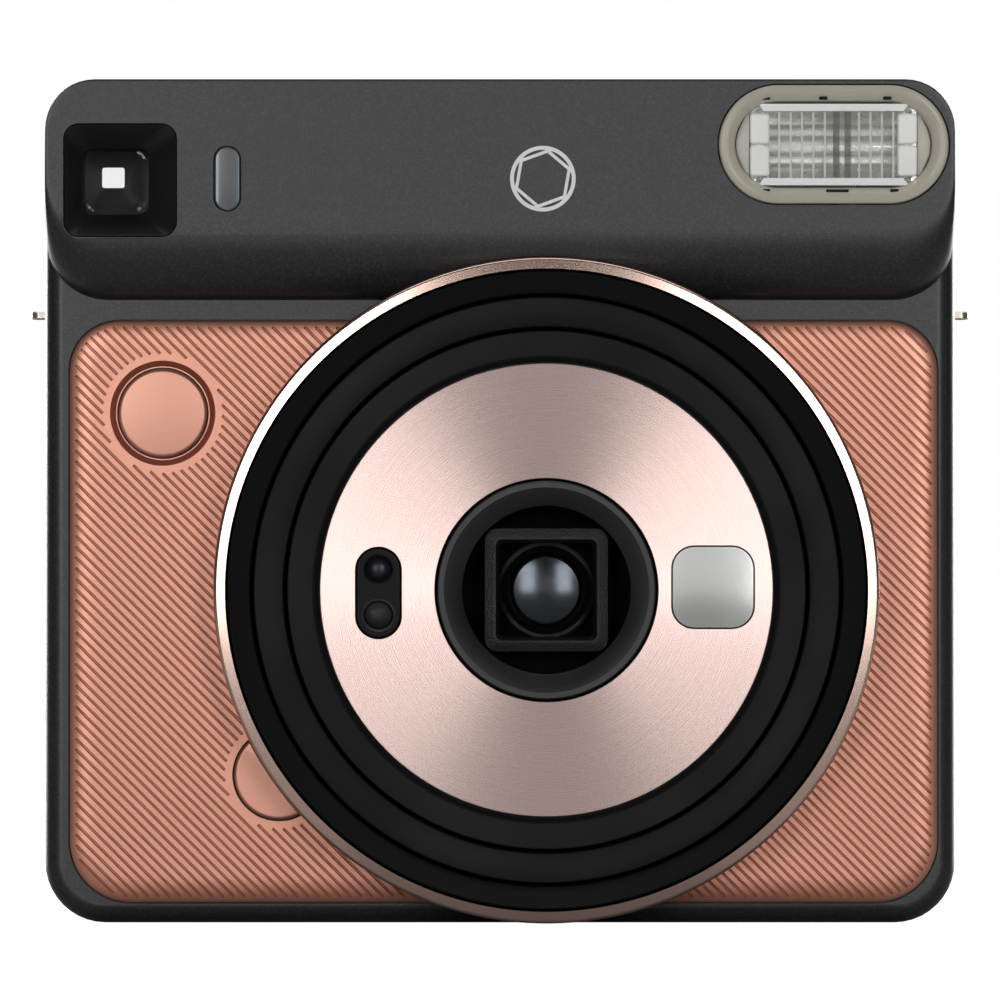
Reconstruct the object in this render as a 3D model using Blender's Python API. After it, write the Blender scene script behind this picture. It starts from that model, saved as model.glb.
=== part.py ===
"""Instant film camera with a collapsible two-stage lens, built from separate pieces.

Metres, +Z up. The lens looks along -Y, and +X is on the right as seen from the front.
The origin is the middle of the base, halfway between the lens ring and the film door.
Driving sizes come first, then the shape helpers, then one function per group of pieces.
"""
import math

import bpy
from mathutils import Matrix, Vector

# Overall sizes and clearances
WIDTH = 0.1281  # body, without the strap lugs
HEIGHT = 0.1187  # base to top
DEPTH = 0.0581  # lens ring to film door
GAP = 0.0003  # between pieces that touch
RUN = 0.0005  # between pieces that slide in each other
WALL = 0.002  # moulded covers

# Covers
TOP_CORNER = 0.0073
LOW_CORNER = 0.0085
FRONT_EDGE = 0.0026
REAR_EDGE = 0.004
PARTING = 0.004  # where the front cover meets the rear cover
BROW_PROUD = 0.0062  # the upper block stands this far in front of the lower face
BROW_DROP = 0.0311  # top to the crease under the block
BROW_CURVE = 0.0099  # height of the curve that runs back under the block
BROW_CORNER = 0.0087
BROW_INSET = 0.00025

# Front panel
PANEL_LEFT = 0.00355  # margins from the body's outline
PANEL_RIGHT = 0.00255
PANEL_LOW = 0.0029
PANEL_DROP = 0.034
PANEL_TOP_CORNER = 0.007
PANEL_LOW_CORNER = 0.0087
PANEL_ROLL = 0.0036
PANEL_THICK = 0.0018
PANEL_PROUD = 0.0012

# Lens
RING_R = 0.0466
RING_WALL = 0.0017
RING_PROUD = 0.00905  # ring face ahead of the panel face
FIXED_WALL = 0.0031
OUTER_WALL = 0.0042
INNER_RIM = 0.0041
LENS_X = 0.0065
BEZEL_R = 0.0153
CONE_R = 0.0118
HOOD_HALF = 0.0088
CELL_R = 0.0062
GLASS_R = 0.00455
PLATE_PROUD = 0.001  # front plate ahead of the inner barrel's wall
SHUTTER_R = BEZEL_R - 0.0005
BLADE_PIVOT = 0.008
APERTURE_R = 0.0027

# Buttons
SHUTTER_BUTTON_R = 0.0062
LENS_BUTTON_R = 0.0063
LENS_BUTTON_ANGLE = math.radians(214.7)
BUTTON_TRAVEL = 0.0009
TOP_BUTTON = (0.0035, 0.009)
MODE_BUTTON_R = 0.0035

# Windows in the upper block
FLASH_SIZE = (0.0322, 0.0166)
FINDER_HALF = 0.00785
FINDER_EYE = 0.005  # half width of the viewfinder tube's bore
LAMP_SIZE = (0.00365, 0.009)

# Film side
FILM_PACK = (0.078, 0.094)
GATE_HALF = 0.031
FILM_PLANE = 0.0095
CHASSIS_WALL = 0.0012
LIGHT_BOX_WALL = 0.003
ROLLER_R = 0.003
ROLLER_NIP = 0.0006
EXIT_SLOT = (0.076, 0.0046)
DOOR_THICK = 0.00335
HINGE_PIN_R = 0.00065
KNUCKLE_R = 0.0016
BATTERY_R = 0.0077
BATTERY_LENGTH = 0.027
HOLDER_WALL = 0.001

# Places that follow from the sizes
HALF = WIDTH / 2
FRONT = -DEPTH / 2
REAR = DEPTH / 2
PANEL_FACE = FRONT + RING_PROUD
BODY_FRONT = PANEL_FACE + PANEL_PROUD
PANEL_BACK = PANEL_FACE + PANEL_THICK
POCKET_FLOOR = PANEL_BACK + GAP
FRONT_INSIDE = POCKET_FLOOR + WALL
BROW_FRONT = BODY_FRONT - BROW_PROUD
DOOR_BACK = REAR - DOOR_THICK
BODY_REAR = DOOR_BACK - GAP
REAR_INSIDE = BODY_REAR - WALL
LENS_Z = RING_R + GAP
BARREL_R = RING_R - RING_WALL - GAP
PACK_LOW = 0.006
PACK_TOP = PACK_LOW + FILM_PACK[1]
PACK_LEFT = LENS_X - FILM_PACK[0] / 2
PACK_RIGHT = LENS_X + FILM_PACK[0] / 2
FINDER_X = -HALF + 0.01085
FINDER_Z = HEIGHT - 0.0144
EYE_X = FINDER_X - 0.00085
FLASH_X = HALF - 0.0173
FLASH_Z = HEIGHT - 0.0094
LAMP_X = -HALF + 0.02585
LAMP_Z = HEIGHT - 0.0142
SHUTTER_BUTTON = (-HALF + 0.01665, HEIGHT - 0.047)
LENS_BUTTON_FROM_AXIS = RING_R - 0.0009
LENS_BUTTON = (
    LENS_X + LENS_BUTTON_FROM_AXIS * math.cos(LENS_BUTTON_ANGLE),
    LENS_Z + LENS_BUTTON_FROM_AXIS * math.sin(LENS_BUTTON_ANGLE),
)
HINGE = (HALF - 0.00555, DOOR_BACK + KNUCKLE_R + 0.00005)
ROLLER_Z = PACK_TOP + 0.006
NIP_Y = FILM_PLANE + 0.0014
DRIVE_ROLLER_Y = NIP_Y - ROLLER_NIP / 2 - ROLLER_R
PINCH_ROLLER_Y = NIP_Y + ROLLER_NIP / 2 + ROLLER_R
BATTERY_X = -HALF + 0.01405
BATTERY_Y = (PARTING + REAR_INSIDE) / 2
DOOR_LEFT = PACK_LEFT - 0.0037
DOOR_RIGHT = HINGE[0] - KNUCKLE_R - RUN
DOOR_LOW = PACK_LOW - 0.0015
DOOR_TOP = PACK_TOP + 0.0015
DOOR_CORNER = 0.005
LATCH_X = DOOR_LEFT + 0.0055
LATCH_Z = PACK_LOW + 0.045
LATCH_SIZE = (0.006, 0.014)
LATCH_TRAVEL = 0.004
LATCH_DEPTH = 0.0015
EYEPIECE_HALF = 0.0069
MODE_X = BATTERY_X
MODE_Z = FINDER_Z - 0.0205
MODE_LAMP_X = MODE_X - 0.0068
MODE_LAMP_SIZE = (0.0022, 0.012)
COUNTER_WINDOW = (0.0052, 0.0042)
COUNTER_Z = PACK_LOW + 2 * BATTERY_LENGTH + 0.0102
COUNTER_R = 0.0063
COUNTER_WINDOW_Z = COUNTER_Z + COUNTER_R - COUNTER_WINDOW[1] / 2 - 0.0006
BATTERY_DOOR_LEFT = BATTERY_X - BATTERY_R - RUN
BATTERY_DOOR_RIGHT = BATTERY_X + BATTERY_R + RUN
BATTERY_HINGE = (BATTERY_DOOR_LEFT - 0.0012, 0.0012)
TRIPOD_X = HALF - 0.0105
TOP_BUTTON_X = (-HALF + 0.01805, -HALF + 0.02215)
TOP_BUTTON_Y = BATTERY_Y
TOP_BUTTON_PROUD = 0.00045
LUG_Y = BATTERY_Y - 0.0038
LUG_Z = HEIGHT - 0.0328
LUG_WIDTH = 0.008
LUG_THICK = 0.00108
LUG_REACH = 0.003
LUG_CORNER = 0.0012
LENS_BUTTON_STEM = (
    LENS_X + (RING_R + 0.0026) * math.cos(LENS_BUTTON_ANGLE),
    LENS_Z + (RING_R + 0.0026) * math.sin(LENS_BUTTON_ANGLE),
)
LIGHT_BOX_FRONT = BODY_FRONT + 0.0128
CLAW_Y = FILM_PLANE + 0.0025
CLAW_Z = PACK_LOW + 0.012
CLAW_TRAVEL = 0.008
JOURNAL_R = 0.0012
SYNC_R = ROLLER_R + ROLLER_NIP / 2 - 0.0001
GEAR_ROOM = PACK_RIGHT + CHASSIS_WALL
DRIVE_GEAR_R = 0.0075
PINION_R = 0.003
MOTOR = (DRIVE_ROLLER_Y - 0.0106, ROLLER_Z - 0.0015)
MOTOR_R = 0.005
STAGE_FRONT = FRONT + 0.00215
BULKHEAD = STAGE_FRONT + 0.0009
INNER_HOLE = BEZEL_R + 0.0004
PLATE_R = BARREL_R - FIXED_WALL - OUTER_WALL - INNER_RIM - 2 * RUN - 0.0005
PLATE_MIDDLE = (BEZEL_R + PLATE_R) / 2
SENSOR = (LENS_X - PLATE_MIDDLE, LENS_Z - 0.0004)
SENSOR_SIZE = (0.0061, 0.0125)
MIRROR = (LENS_X + PLATE_MIDDLE - 0.0002, LENS_Z + 0.0004)
MIRROR_SIZE = (0.01125, 0.01125)
PACK_WINDOW = (0.008, 0.024)
TRIPOD_BORE_R = 0.0032
TRIPOD_R = 0.0045
PIVOT_R = 0.0008  # shutter blade pins
MOTOR_SHAFT_R = 0.0009
LENS_STEM_R = 0.0016
FINDER_CORNER = 0.00205
PAST = 0.001  # how far a cutter runs past the face it opens
EASE = 1e-5  # keeps a full-round end from closing on itself
SMALL = 12  # sides of a small turned piece
LARGE = 32  # sides of a large turned piece


# ---------------------------------------------------------------- helpers
def clear_scene():
    for thing in list(bpy.data.objects):
        bpy.data.objects.remove(thing, do_unlink=True)


def material(name, hex_colour, roughness=0.5, metallic=0.0, alpha=1.0):
    made = bpy.data.materials.get(name)
    if made:
        return made
    made = bpy.data.materials.new(name)
    made.use_nodes = True
    shader = made.node_tree.nodes["Principled BSDF"]
    parts = [int(hex_colour[i : i + 2], 16) / 255 for i in (1, 3, 5)]
    linear = [c / 12.92 if c <= 0.04045 else ((c + 0.055) / 1.055) ** 2.4 for c in parts]
    shader.inputs["Base Color"].default_value = (*linear, 1)
    shader.inputs["Roughness"].default_value = roughness
    shader.inputs["Metallic"].default_value = metallic
    shader.inputs["Alpha"].default_value = alpha
    made.diffuse_color = (*linear, alpha)
    return made


GRAPHITE = ("graphite_cover", "#3f4143", 0.45)
COPPER = ("copper_panel", "#d8977f", 0.42, 0.6)
BLACK = ("black_plastic", "#1b1d20", 0.5)
ROSE = ("rose_metal", "#e8c3b4", 0.28, 1.0)
STEEL = ("steel", "#b8b4ac", 0.35, 1.0)
CLEAR = ("clear_plastic", "#dfe6e2", 0.1, 0.0, 0.4)
GLASS = ("coated_glass", "#8fa3b5", 0.05, 0.0, 0.5)
WHITE = ("white_plastic", "#d9d6cf", 0.5)
BOARD = ("circuit_board_green", "#2c5a3c", 0.6)
BRIGHT = ("reflector_foil", "#e9e9e6", 0.15, 1.0)
SLEEVE = ("battery_sleeve", "#6e7f8a", 0.4)


def add_mesh(name, points, faces, look, smooth=True):
    """A closed mesh with its faces turned outwards."""
    mesh = bpy.data.meshes.new(name)
    mesh.from_pydata([tuple(p) for p in points], [], faces)
    mesh.validate()
    mesh.materials.append(material(*look))
    piece = bpy.data.objects.new(name, mesh)
    bpy.context.scene.collection.objects.link(piece)
    volume = 0.0
    mesh.calc_loop_triangles()
    for tri in mesh.loop_triangles:
        a, b, c = (mesh.vertices[i].co for i in tri.vertices)
        volume += a.dot(b.cross(c))
    if volume < 0:
        mesh.flip_normals()
    if smooth:
        mesh.shade_smooth()
        mesh.set_sharp_from_angle(angle=math.radians(35))
    return piece


def rounded(centre, half, low_r, top_r=None, steps=4):
    """Outline of a rectangle with rounded corners, as (u, v) points that run anticlockwise."""
    top_r = low_r if top_r is None else top_r
    corners = ((1, -1, low_r, -90), (1, 1, top_r, 0), (-1, 1, top_r, 90), (-1, -1, low_r, 180))
    points = []
    for side_u, side_v, radius, start in corners:
        mid_u = centre[0] + side_u * (half[0] - radius)
        mid_v = centre[1] + side_v * (half[1] - radius)
        for i in range(steps + 1):
            turn = math.radians(start + 90 * i / steps)
            points.append((mid_u + radius * math.cos(turn), mid_v + radius * math.sin(turn)))
    return points


def circle(centre, radius, steps=SMALL):
    return [
        (
            centre[0] + radius * math.cos(2 * math.pi * i / steps),
            centre[1] + radius * math.sin(2 * math.pi * i / steps),
        )
        for i in range(steps)
    ]


def raised(outline, level, along="Y"):
    """Places an outline at a level along one axis."""
    if along == "X":
        return [(level, u, v) for u, v in outline]
    if along == "Y":
        return [(u, level, v) for u, v in outline]
    return [(u, v, level) for u, v in outline]


def loft(name, loops, look, tube=False):
    """Skins loops of equal count; a tube joins the last loop to the first, else both ends are capped."""
    count = len(loops[0])
    points = [p for loop in loops for p in loop]
    faces = []
    pairs = len(loops) if tube else len(loops) - 1
    for k in range(pairs):
        low, high = k * count, (k + 1) % len(loops) * count
        for i in range(count):
            j = (i + 1) % count
            faces.append((low + i, low + j, high + j, high + i))
    if not tube:
        faces.append(tuple(reversed(range(count))))
        faces.append(tuple(range(len(points) - count, len(points))))
    return add_mesh(name, points, faces, look)


def prism(name, outline, start, end, look, along="Y"):
    return loft(name, [raised(outline, start, along), raised(outline, end, along)], look)


def box(name, low, high, look):
    outline = [(low[0], low[1]), (high[0], low[1]), (high[0], high[1]), (low[0], high[1])]
    return prism(name, outline, low[2], high[2], look, "Z")


def turned(name, profile, look, centre, along="Y", steps=LARGE):
    """Turns (radius, level) points about a line along one axis; a radius of 0 makes a pole."""
    points, rows, faces = [], [], []
    for radius, level in profile:
        if radius == 0:
            rows.append([len(points)] * steps)
            points += raised([centre], level, along)
        else:
            rows.append(list(range(len(points), len(points) + steps)))
            points += raised(circle(centre, radius, steps), level, along)
    closed = profile[0][0] > 0
    for k in range(len(rows) if closed else len(rows) - 1):
        low, high = rows[k], rows[(k + 1) % len(rows)]
        for i in range(steps):
            j = (i + 1) % steps
            corners = []
            for index in (low[i], low[j], high[j], high[i]):
                if index not in corners:
                    corners.append(index)
            if len(corners) > 2:
                faces.append(corners)
    return add_mesh(name, points, faces, look)


def rod(name, centre, radius, start, end, look, along="Y", steps=SMALL):
    return prism(name, circle(centre, radius, steps), start, end, look, along)


def combine(piece, other, operation):
    step = piece.modifiers.new(operation.lower() + "_" + other.name, "BOOLEAN")
    step.operation = operation
    step.solver = "EXACT"
    step.object = other
    other.hide_render = True
    other.display_type = "WIRE"


def cut(piece, *cutters):
    for cutter in cutters:
        combine(piece, cutter, "DIFFERENCE")


def weld(piece, *others):
    for other in others:
        combine(piece, other, "UNION")


def on_joint(name, point, *pieces):
    """Hangs the pieces on an empty that sits on their joint's axis."""
    empty = bpy.data.objects.new(name, None)
    empty.location = point
    bpy.context.scene.collection.objects.link(empty)
    for piece in pieces:
        piece.parent = empty
        piece.matrix_parent_inverse = Matrix.Translation(-Vector(point))


def grown(size, by):
    return tuple(side / 2 + by for side in size)


# ---------------------------------------------------------------- covers
def shell_loops(half_w, height, front, back, edge, steps=4):
    """Loops of a rounded box whose face at `front` has a rounded edge; `back` is open-ended."""
    towards = 1 if back > front else -1
    loops = []
    for i in range(steps + 1):
        turn = math.pi / 2 * i / steps
        inset = edge * (1 - math.sin(turn))
        level = front + towards * edge * (1 - math.cos(turn))
        outline = rounded(
            (0, height / 2),
            (half_w - inset, height / 2 - inset),
            LOW_CORNER - inset,
            TOP_CORNER - inset,
        )
        loops.append(raised(outline, level))
    loops.append(raised(rounded((0, height / 2), (half_w, height / 2), LOW_CORNER, TOP_CORNER), back))
    return loops


def hollow(name, front, back):
    """Cutter for the room inside the covers."""
    outline = rounded(
        (0, HEIGHT / 2),
        (HALF - WALL, HEIGHT / 2 - WALL),
        LOW_CORNER - WALL,
        TOP_CORNER - WALL,
    )
    return prism(name, outline, front, back, BLACK)


def brow(name, inset, front, back, look):
    """The upper block: flat in front, curving back and under to the crease."""
    half_w = HALF - BROW_INSET - inset
    low, top = HEIGHT - BROW_DROP + inset, HEIGHT - BROW_INSET - inset
    depth = BODY_FRONT - front
    edge = 0.0006
    loops = []
    steps = 6
    for i in range(steps + 1):
        turn = math.pi / 2 * i / steps
        foot = low + BROW_CURVE * (1 - math.cos(turn))
        level = BODY_FRONT + 0.0004 - (depth + 0.0004) * math.sin(turn)
        side = half_w - (edge if i == steps else 0)
        head = top - (edge if i == steps else 0)
        outline = rounded(
            (0, (foot + head) / 2),
            (side, (head - foot) / 2),
            BROW_CORNER - inset,
            TOP_CORNER - BROW_INSET - inset,
        )
        loops.append(raised(outline, level))
    bottom = rounded(
        (0, (low + top) / 2),
        (half_w, (top - low) / 2),
        BROW_CORNER - inset,
        TOP_CORNER - BROW_INSET - inset,
    )
    return loft(name, [raised(bottom, back)] + loops, look)


def panel_outline(by):
    """Outline of the front panel, grown by a margin."""
    left, right = -HALF + PANEL_LEFT, HALF - PANEL_RIGHT
    low, top = PANEL_LOW, HEIGHT - PANEL_DROP
    return rounded(
        ((left + right) / 2, (low + top) / 2),
        ((right - left) / 2 + by, (top - low) / 2 + by),
        PANEL_LOW_CORNER + by,
        PANEL_TOP_CORNER + by,
    )


def front_cover():
    cover = loft(
        "front_cover",
        list(reversed(shell_loops(HALF, HEIGHT, BODY_FRONT, PARTING, FRONT_EDGE))),
        GRAPHITE,
    )
    weld(cover, brow("brow_solid", 0, BROW_FRONT, BODY_FRONT + 0.006, GRAPHITE))
    ahead = FRONT - PAST
    stem = LENS_BUTTON_STEM
    cut(
        cover,
        hollow("front_room", FRONT_INSIDE, PARTING + 0.002),
        brow("brow_room", 0.0025, BROW_FRONT + WALL, FRONT_INSIDE + PAST, BLACK),
        prism("panel_pocket", panel_outline(GAP), ahead, POCKET_FLOOR, BLACK),
        rod(
            "barrel_hole",
            (LENS_X, LENS_Z),
            BARREL_R + GAP,
            ahead,
            FRONT_INSIDE + PAST,
            BLACK,
            steps=LARGE,
        ),
        rod("ring_seat", (LENS_X, LENS_Z), RING_R + GAP, ahead, PANEL_FACE, BLACK, steps=LARGE),
        rod("shutter_stem_hole", SHUTTER_BUTTON, 0.0023, ahead, 0, BLACK),
        rod("lens_stem_hole", stem, LENS_STEM_R + GAP, ahead, 0, BLACK),
        prism(
            "finder_hole",
            rounded((FINDER_X, FINDER_Z), (FINDER_HALF + GAP,) * 2, FINDER_CORNER + GAP),
            ahead,
            FRONT_INSIDE + PAST,
            BLACK,
        ),
        prism(
            "lamp_hole",
            rounded((LAMP_X, LAMP_Z), grown(LAMP_SIZE, GAP), LAMP_SIZE[0] / 2 + GAP - EASE),
            ahead,
            FRONT_INSIDE + PAST,
            BLACK,
        ),
        prism(
            "flash_hole",
            rounded((FLASH_X, FLASH_Z), grown(FLASH_SIZE, GAP), FLASH_SIZE[1] / 2 + GAP - EASE, steps=8),
            ahead,
            BROW_FRONT + 0.006,
            BLACK,
        ),
    )
    return cover


def front_panel(name, side):
    """Half of the ribbed front panel: the lens hole parts it at the top and at the bottom."""
    levels = (
        (PANEL_BACK, 0),
        (PANEL_FACE + 0.0012, 0),
        (PANEL_FACE + 0.0005, PANEL_ROLL * 0.2),
        (PANEL_FACE + 0.00012, PANEL_ROLL * 0.6),
        (PANEL_FACE, PANEL_ROLL),
    )
    panel = loft(name, [raised(panel_outline(-by), level) for level, by in levels], COPPER)
    back, ahead = PANEL_BACK + PAST, PANEL_FACE - PAST
    other_end = LENS_X - side * WIDTH
    other_half = box(
        name + "_other_half",
        (min(LENS_X, other_end), ahead, -0.001),
        (max(LENS_X, other_end), back, HEIGHT),
        BLACK,
    )
    hole = rod(name + "_lens_hole", (LENS_X, LENS_Z), BARREL_R + GAP, ahead, back, BLACK, steps=LARGE)
    cut(panel, other_half, hole)
    return panel


def left_panel_holes(panel):
    """Dished hole for the shutter button, and the lens button's hole beside the ring."""
    back, ahead = PANEL_BACK + PAST, PANEL_FACE - PAST
    dish = (
        (0, back),
        (SHUTTER_BUTTON_R + GAP, back),
        (SHUTTER_BUTTON_R + GAP, PANEL_FACE + 0.0006),
        (0.0076, PANEL_FACE - 0.0002),
        (0.0076, ahead),
        (0, ahead),
    )
    cut(
        panel,
        turned("shutter_dish", dish, BLACK, SHUTTER_BUTTON, steps=24),
        rod("lens_button_hole", LENS_BUTTON, LENS_BUTTON_R + GAP, ahead, back, BLACK, steps=24),
    )


def rear_cover():
    loops = shell_loops(HALF, HEIGHT, BODY_REAR, PARTING + GAP, REAR_EDGE)
    cover = loft("rear_cover", loops, GRAPHITE)
    for end, low in (("low", DOOR_LOW + 0.002), ("high", DOOR_TOP - 0.008)):
        ear = box(
            "hinge_ear_" + end,
            (HINGE[0] - KNUCKLE_R, REAR_INSIDE + 0.001, low),
            (HINGE[0] + KNUCKLE_R, HINGE[1], low + 0.006),
            BLACK,
        )
        knob = rod("hinge_knob_" + end, HINGE, KNUCKLE_R, low, low + 0.006, BLACK, "Z")
        weld(cover, ear, knob)
    beyond = REAR + PAST
    cut(
        cover,
        hollow("rear_room", PARTING - 0.002, REAR_INSIDE),
        box(
            "pack_opening",
            (PACK_LEFT, REAR_INSIDE - PAST, PACK_LOW),
            (PACK_RIGHT, BODY_REAR + PAST, PACK_TOP),
            BLACK,
        ),
        rod("ear_bore", HINGE, HINGE_PIN_R + GAP, DOOR_LOW, DOOR_TOP, BLACK, "Z"),
        prism(
            "eyepiece_hole",
            rounded((EYE_X, FINDER_Z), (EYEPIECE_HALF + GAP,) * 2, 0.002),
            REAR_INSIDE - PAST,
            beyond,
            BLACK,
        ),
        rod("mode_hole", (MODE_X, MODE_Z), MODE_BUTTON_R + GAP, REAR_INSIDE - PAST, beyond, BLACK),
        prism(
            "mode_lamp_hole",
            rounded((MODE_LAMP_X, MODE_Z), grown(MODE_LAMP_SIZE, GAP), 0.001),
            REAR_INSIDE - PAST,
            beyond,
            BLACK,
        ),
        prism(
            "counter_hole",
            rounded((MODE_X, COUNTER_WINDOW_Z), grown(COUNTER_WINDOW, GAP), 0.001),
            REAR_INSIDE - PAST,
            beyond,
            BLACK,
        ),
        box(
            "exit_slot",
            (LENS_X - EXIT_SLOT[0] / 2, NIP_Y - EXIT_SLOT[1] / 2, HEIGHT - WALL - PAST),
            (LENS_X + EXIT_SLOT[0] / 2, NIP_Y + EXIT_SLOT[1] / 2, HEIGHT + PAST),
            BLACK,
        ),
        box(
            "battery_opening",
            (BATTERY_DOOR_LEFT - 0.0026, BATTERY_Y - BATTERY_R - RUN - GAP, -0.001),
            (BATTERY_DOOR_RIGHT + GAP, BATTERY_Y + BATTERY_R + RUN + GAP, WALL + PAST),
            BLACK,
        ),
        rod("tripod_hole", (TRIPOD_X, BATTERY_Y), TRIPOD_R + GAP, -PAST, WALL + PAST, BLACK, "Z", 24),
    )
    for x in TOP_BUTTON_X:
        outline = rounded((x, TOP_BUTTON_Y), grown(TOP_BUTTON, GAP), TOP_BUTTON[0] / 2 + GAP - EASE)
        cut(
            cover,
            prism(
                "top_button_hole_%d" % TOP_BUTTON_X.index(x),
                outline,
                HEIGHT - WALL - PAST,
                HEIGHT + PAST,
                BLACK,
                "Z",
            ),
        )
    for name, side in (("left", -1), ("right", 1)):
        reach = sorted((side * (HALF - WALL - PAST), side * (HALF + PAST)))
        cut(
            cover,
            box(
                "lug_slot_" + name,
                (reach[0], LUG_Y - LUG_WIDTH / 2 - GAP, LUG_Z - LUG_THICK / 2 - GAP),
                (reach[1], LUG_Y + LUG_WIDTH / 2 + GAP, LUG_Z + LUG_THICK / 2 + GAP),
                BLACK,
            ),
        )
    return cover


def strap_lugs():
    for name, side in (("left", -1), ("right", 1)):
        inner, outer = HALF - WALL - 0.001, HALF + LUG_REACH
        outline = [(inner, LUG_Y - LUG_WIDTH / 2), (inner, LUG_Y + LUG_WIDTH / 2)]
        for corner, start in ((1, 90), (-1, 0)):
            mid = (outer - LUG_CORNER, LUG_Y + corner * (LUG_WIDTH / 2 - LUG_CORNER))
            for i in range(5):
                turn = math.radians(start - 22.5 * i)
                outline.append((mid[0] + LUG_CORNER * math.cos(turn), mid[1] + LUG_CORNER * math.sin(turn)))
        outline = [(side * x, y) for x, y in outline]
        low, high = LUG_Z - LUG_THICK / 2, LUG_Z + LUG_THICK / 2
        lug = prism("strap_lug_" + name, outline, low, high, STEEL, "Z")
        slot = rounded((side * (HALF + LUG_REACH / 2), LUG_Y), (0.0008, 0.0024), 0.00075)
        cut(lug, prism("strap_slot_" + name, slot, low - PAST, high + PAST, STEEL, "Z"))


# ---------------------------------------------------------------- film side
def chassis():
    """Film chamber, film gate, light box and roller bearings in one moulding."""
    front = FILM_PLANE - CHASSIS_WALL
    frame = box(
        "dark_box",
        (PACK_LEFT - CHASSIS_WALL, front, PACK_LOW - CHASSIS_WALL),
        (PACK_RIGHT + CHASSIS_WALL, REAR_INSIDE - GAP, PACK_TOP + CHASSIS_WALL),
        BLACK,
    )
    outer = GATE_HALF + LIGHT_BOX_WALL
    light_box = box(
        "light_box",
        (LENS_X - outer, LIGHT_BOX_FRONT, LENS_Z - outer),
        (LENS_X + outer, front + 0.0005, LENS_Z + outer),
        BLACK,
    )
    weld(frame, light_box)
    for name, inner in (("left", PACK_LEFT), ("right", PACK_RIGHT)):
        side = -1 if name == "left" else 1
        reach = sorted((inner - side * 0.0005, inner + side * CHASSIS_WALL))
        ear = box(
            "roller_ear_" + name,
            (reach[0], NIP_Y - 2 * ROLLER_R - 0.0015, PACK_TOP + 0.0005),
            (reach[1], NIP_Y + 2 * ROLLER_R + 0.0015, ROLLER_Z + 0.0035),
            BLACK,
        )
        weld(frame, ear)
    cut(
        frame,
        box(
            "pack_room",
            (PACK_LEFT, FILM_PLANE, PACK_LOW),
            (PACK_RIGHT, REAR, PACK_TOP),
            BLACK,
        ),
        box(
            "gate",
            (LENS_X - GATE_HALF, LIGHT_BOX_FRONT - 0.001, LENS_Z - GATE_HALF),
            (LENS_X + GATE_HALF, FILM_PLANE + 0.001, LENS_Z + GATE_HALF),
            BLACK,
        ),
        box(
            "film_way",
            (PACK_LEFT + 0.0025, FILM_PLANE, PACK_TOP - 0.001),
            (PACK_RIGHT - 0.0025, FILM_PLANE + 0.003, PACK_TOP + CHASSIS_WALL + 0.0003),
            BLACK,
        ),
        box(
            "claw_slot",
            (PACK_LEFT - CHASSIS_WALL - PAST, CLAW_Y - 0.002, CLAW_Z - GAP),
            (PACK_LEFT + PAST, CLAW_Y + 0.002, CLAW_Z + 0.003 + CLAW_TRAVEL + GAP),
            BLACK,
        ),
    )
    for name, y in (("drive", DRIVE_ROLLER_Y), ("pinch", PINCH_ROLLER_Y)):
        cut(
            frame,
            rod(
                name + "_bearing",
                (y, ROLLER_Z),
                JOURNAL_R + GAP,
                PACK_LEFT - 0.01,
                PACK_RIGHT + 0.01,
                BLACK,
                "X",
            ),
        )
    return frame


def gear_outline(centre, tip, teeth, depth=0.0005):
    points = []
    for i in range(teeth * 4):
        radius = tip if i % 4 < 2 else tip - depth
        turn = 2 * math.pi * (i - 0.5) / (teeth * 4)
        points.append((centre[0] + radius * math.cos(turn), centre[1] + radius * math.sin(turn)))
    return points


def rollers():
    for name, y, reach, teeth in (
        ("drive_roller", DRIVE_ROLLER_Y, GEAR_ROOM + 0.0045, 12),
        ("pinch_roller", PINCH_ROLLER_Y, GEAR_ROOM + 0.0013, 12),
    ):
        left, right = PACK_LEFT + RUN, PACK_RIGHT - RUN
        centre = (y, ROLLER_Z)
        profile = (
            (0, left - CHASSIS_WALL - 0.0008),
            (JOURNAL_R, left - CHASSIS_WALL - 0.0008),
            (JOURNAL_R, left),
            (ROLLER_R, left),
            (ROLLER_R, right),
            (JOURNAL_R, right),
            (JOURNAL_R, reach),
            (0, reach),
        )
        roller = turned(name, profile, STEEL, centre, "X", 24)
        wheel = prism(
            name + "_sync_gear",
            gear_outline(centre, SYNC_R - 0.0001, teeth),
            GEAR_ROOM + 0.0003,
            GEAR_ROOM + 0.0013,
            WHITE,
            "X",
        )
        weld(roller, wheel)
        on_joint(name + "_axis", (0, *centre), roller)
    centre = (DRIVE_ROLLER_Y, ROLLER_Z)
    gear = prism(
        "drive_gear",
        gear_outline(centre, DRIVE_GEAR_R, 28),
        GEAR_ROOM + 0.0018,
        GEAR_ROOM + 0.0038,
        WHITE,
        "X",
    )
    cut(gear, rod("drive_gear_bore", centre, JOURNAL_R + GAP, GEAR_ROOM, GEAR_ROOM + 0.006, WHITE, "X"))
    on_joint("drive_gear_axis", (0, *centre), gear)
    motor_end = PACK_RIGHT - 0.0065
    motor = rod("drive_motor", MOTOR, MOTOR_R, motor_end - 0.024, motor_end, STEEL, "X", 24)
    cut(
        motor,
        rod("motor_bore", MOTOR, MOTOR_SHAFT_R + GAP, motor_end - 0.004, motor_end + PAST, STEEL, "X", 12),
    )
    pinion = prism(
        "motor_pinion",
        gear_outline(MOTOR, PINION_R, 11),
        GEAR_ROOM + 0.0018,
        GEAR_ROOM + 0.0038,
        WHITE,
        "X",
    )
    weld(
        pinion,
        rod("motor_shaft", MOTOR, MOTOR_SHAFT_R, motor_end - 0.0035, GEAR_ROOM + 0.003, STEEL, "X", 12),
    )
    on_joint("motor_axis", (0, *MOTOR), pinion)


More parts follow.
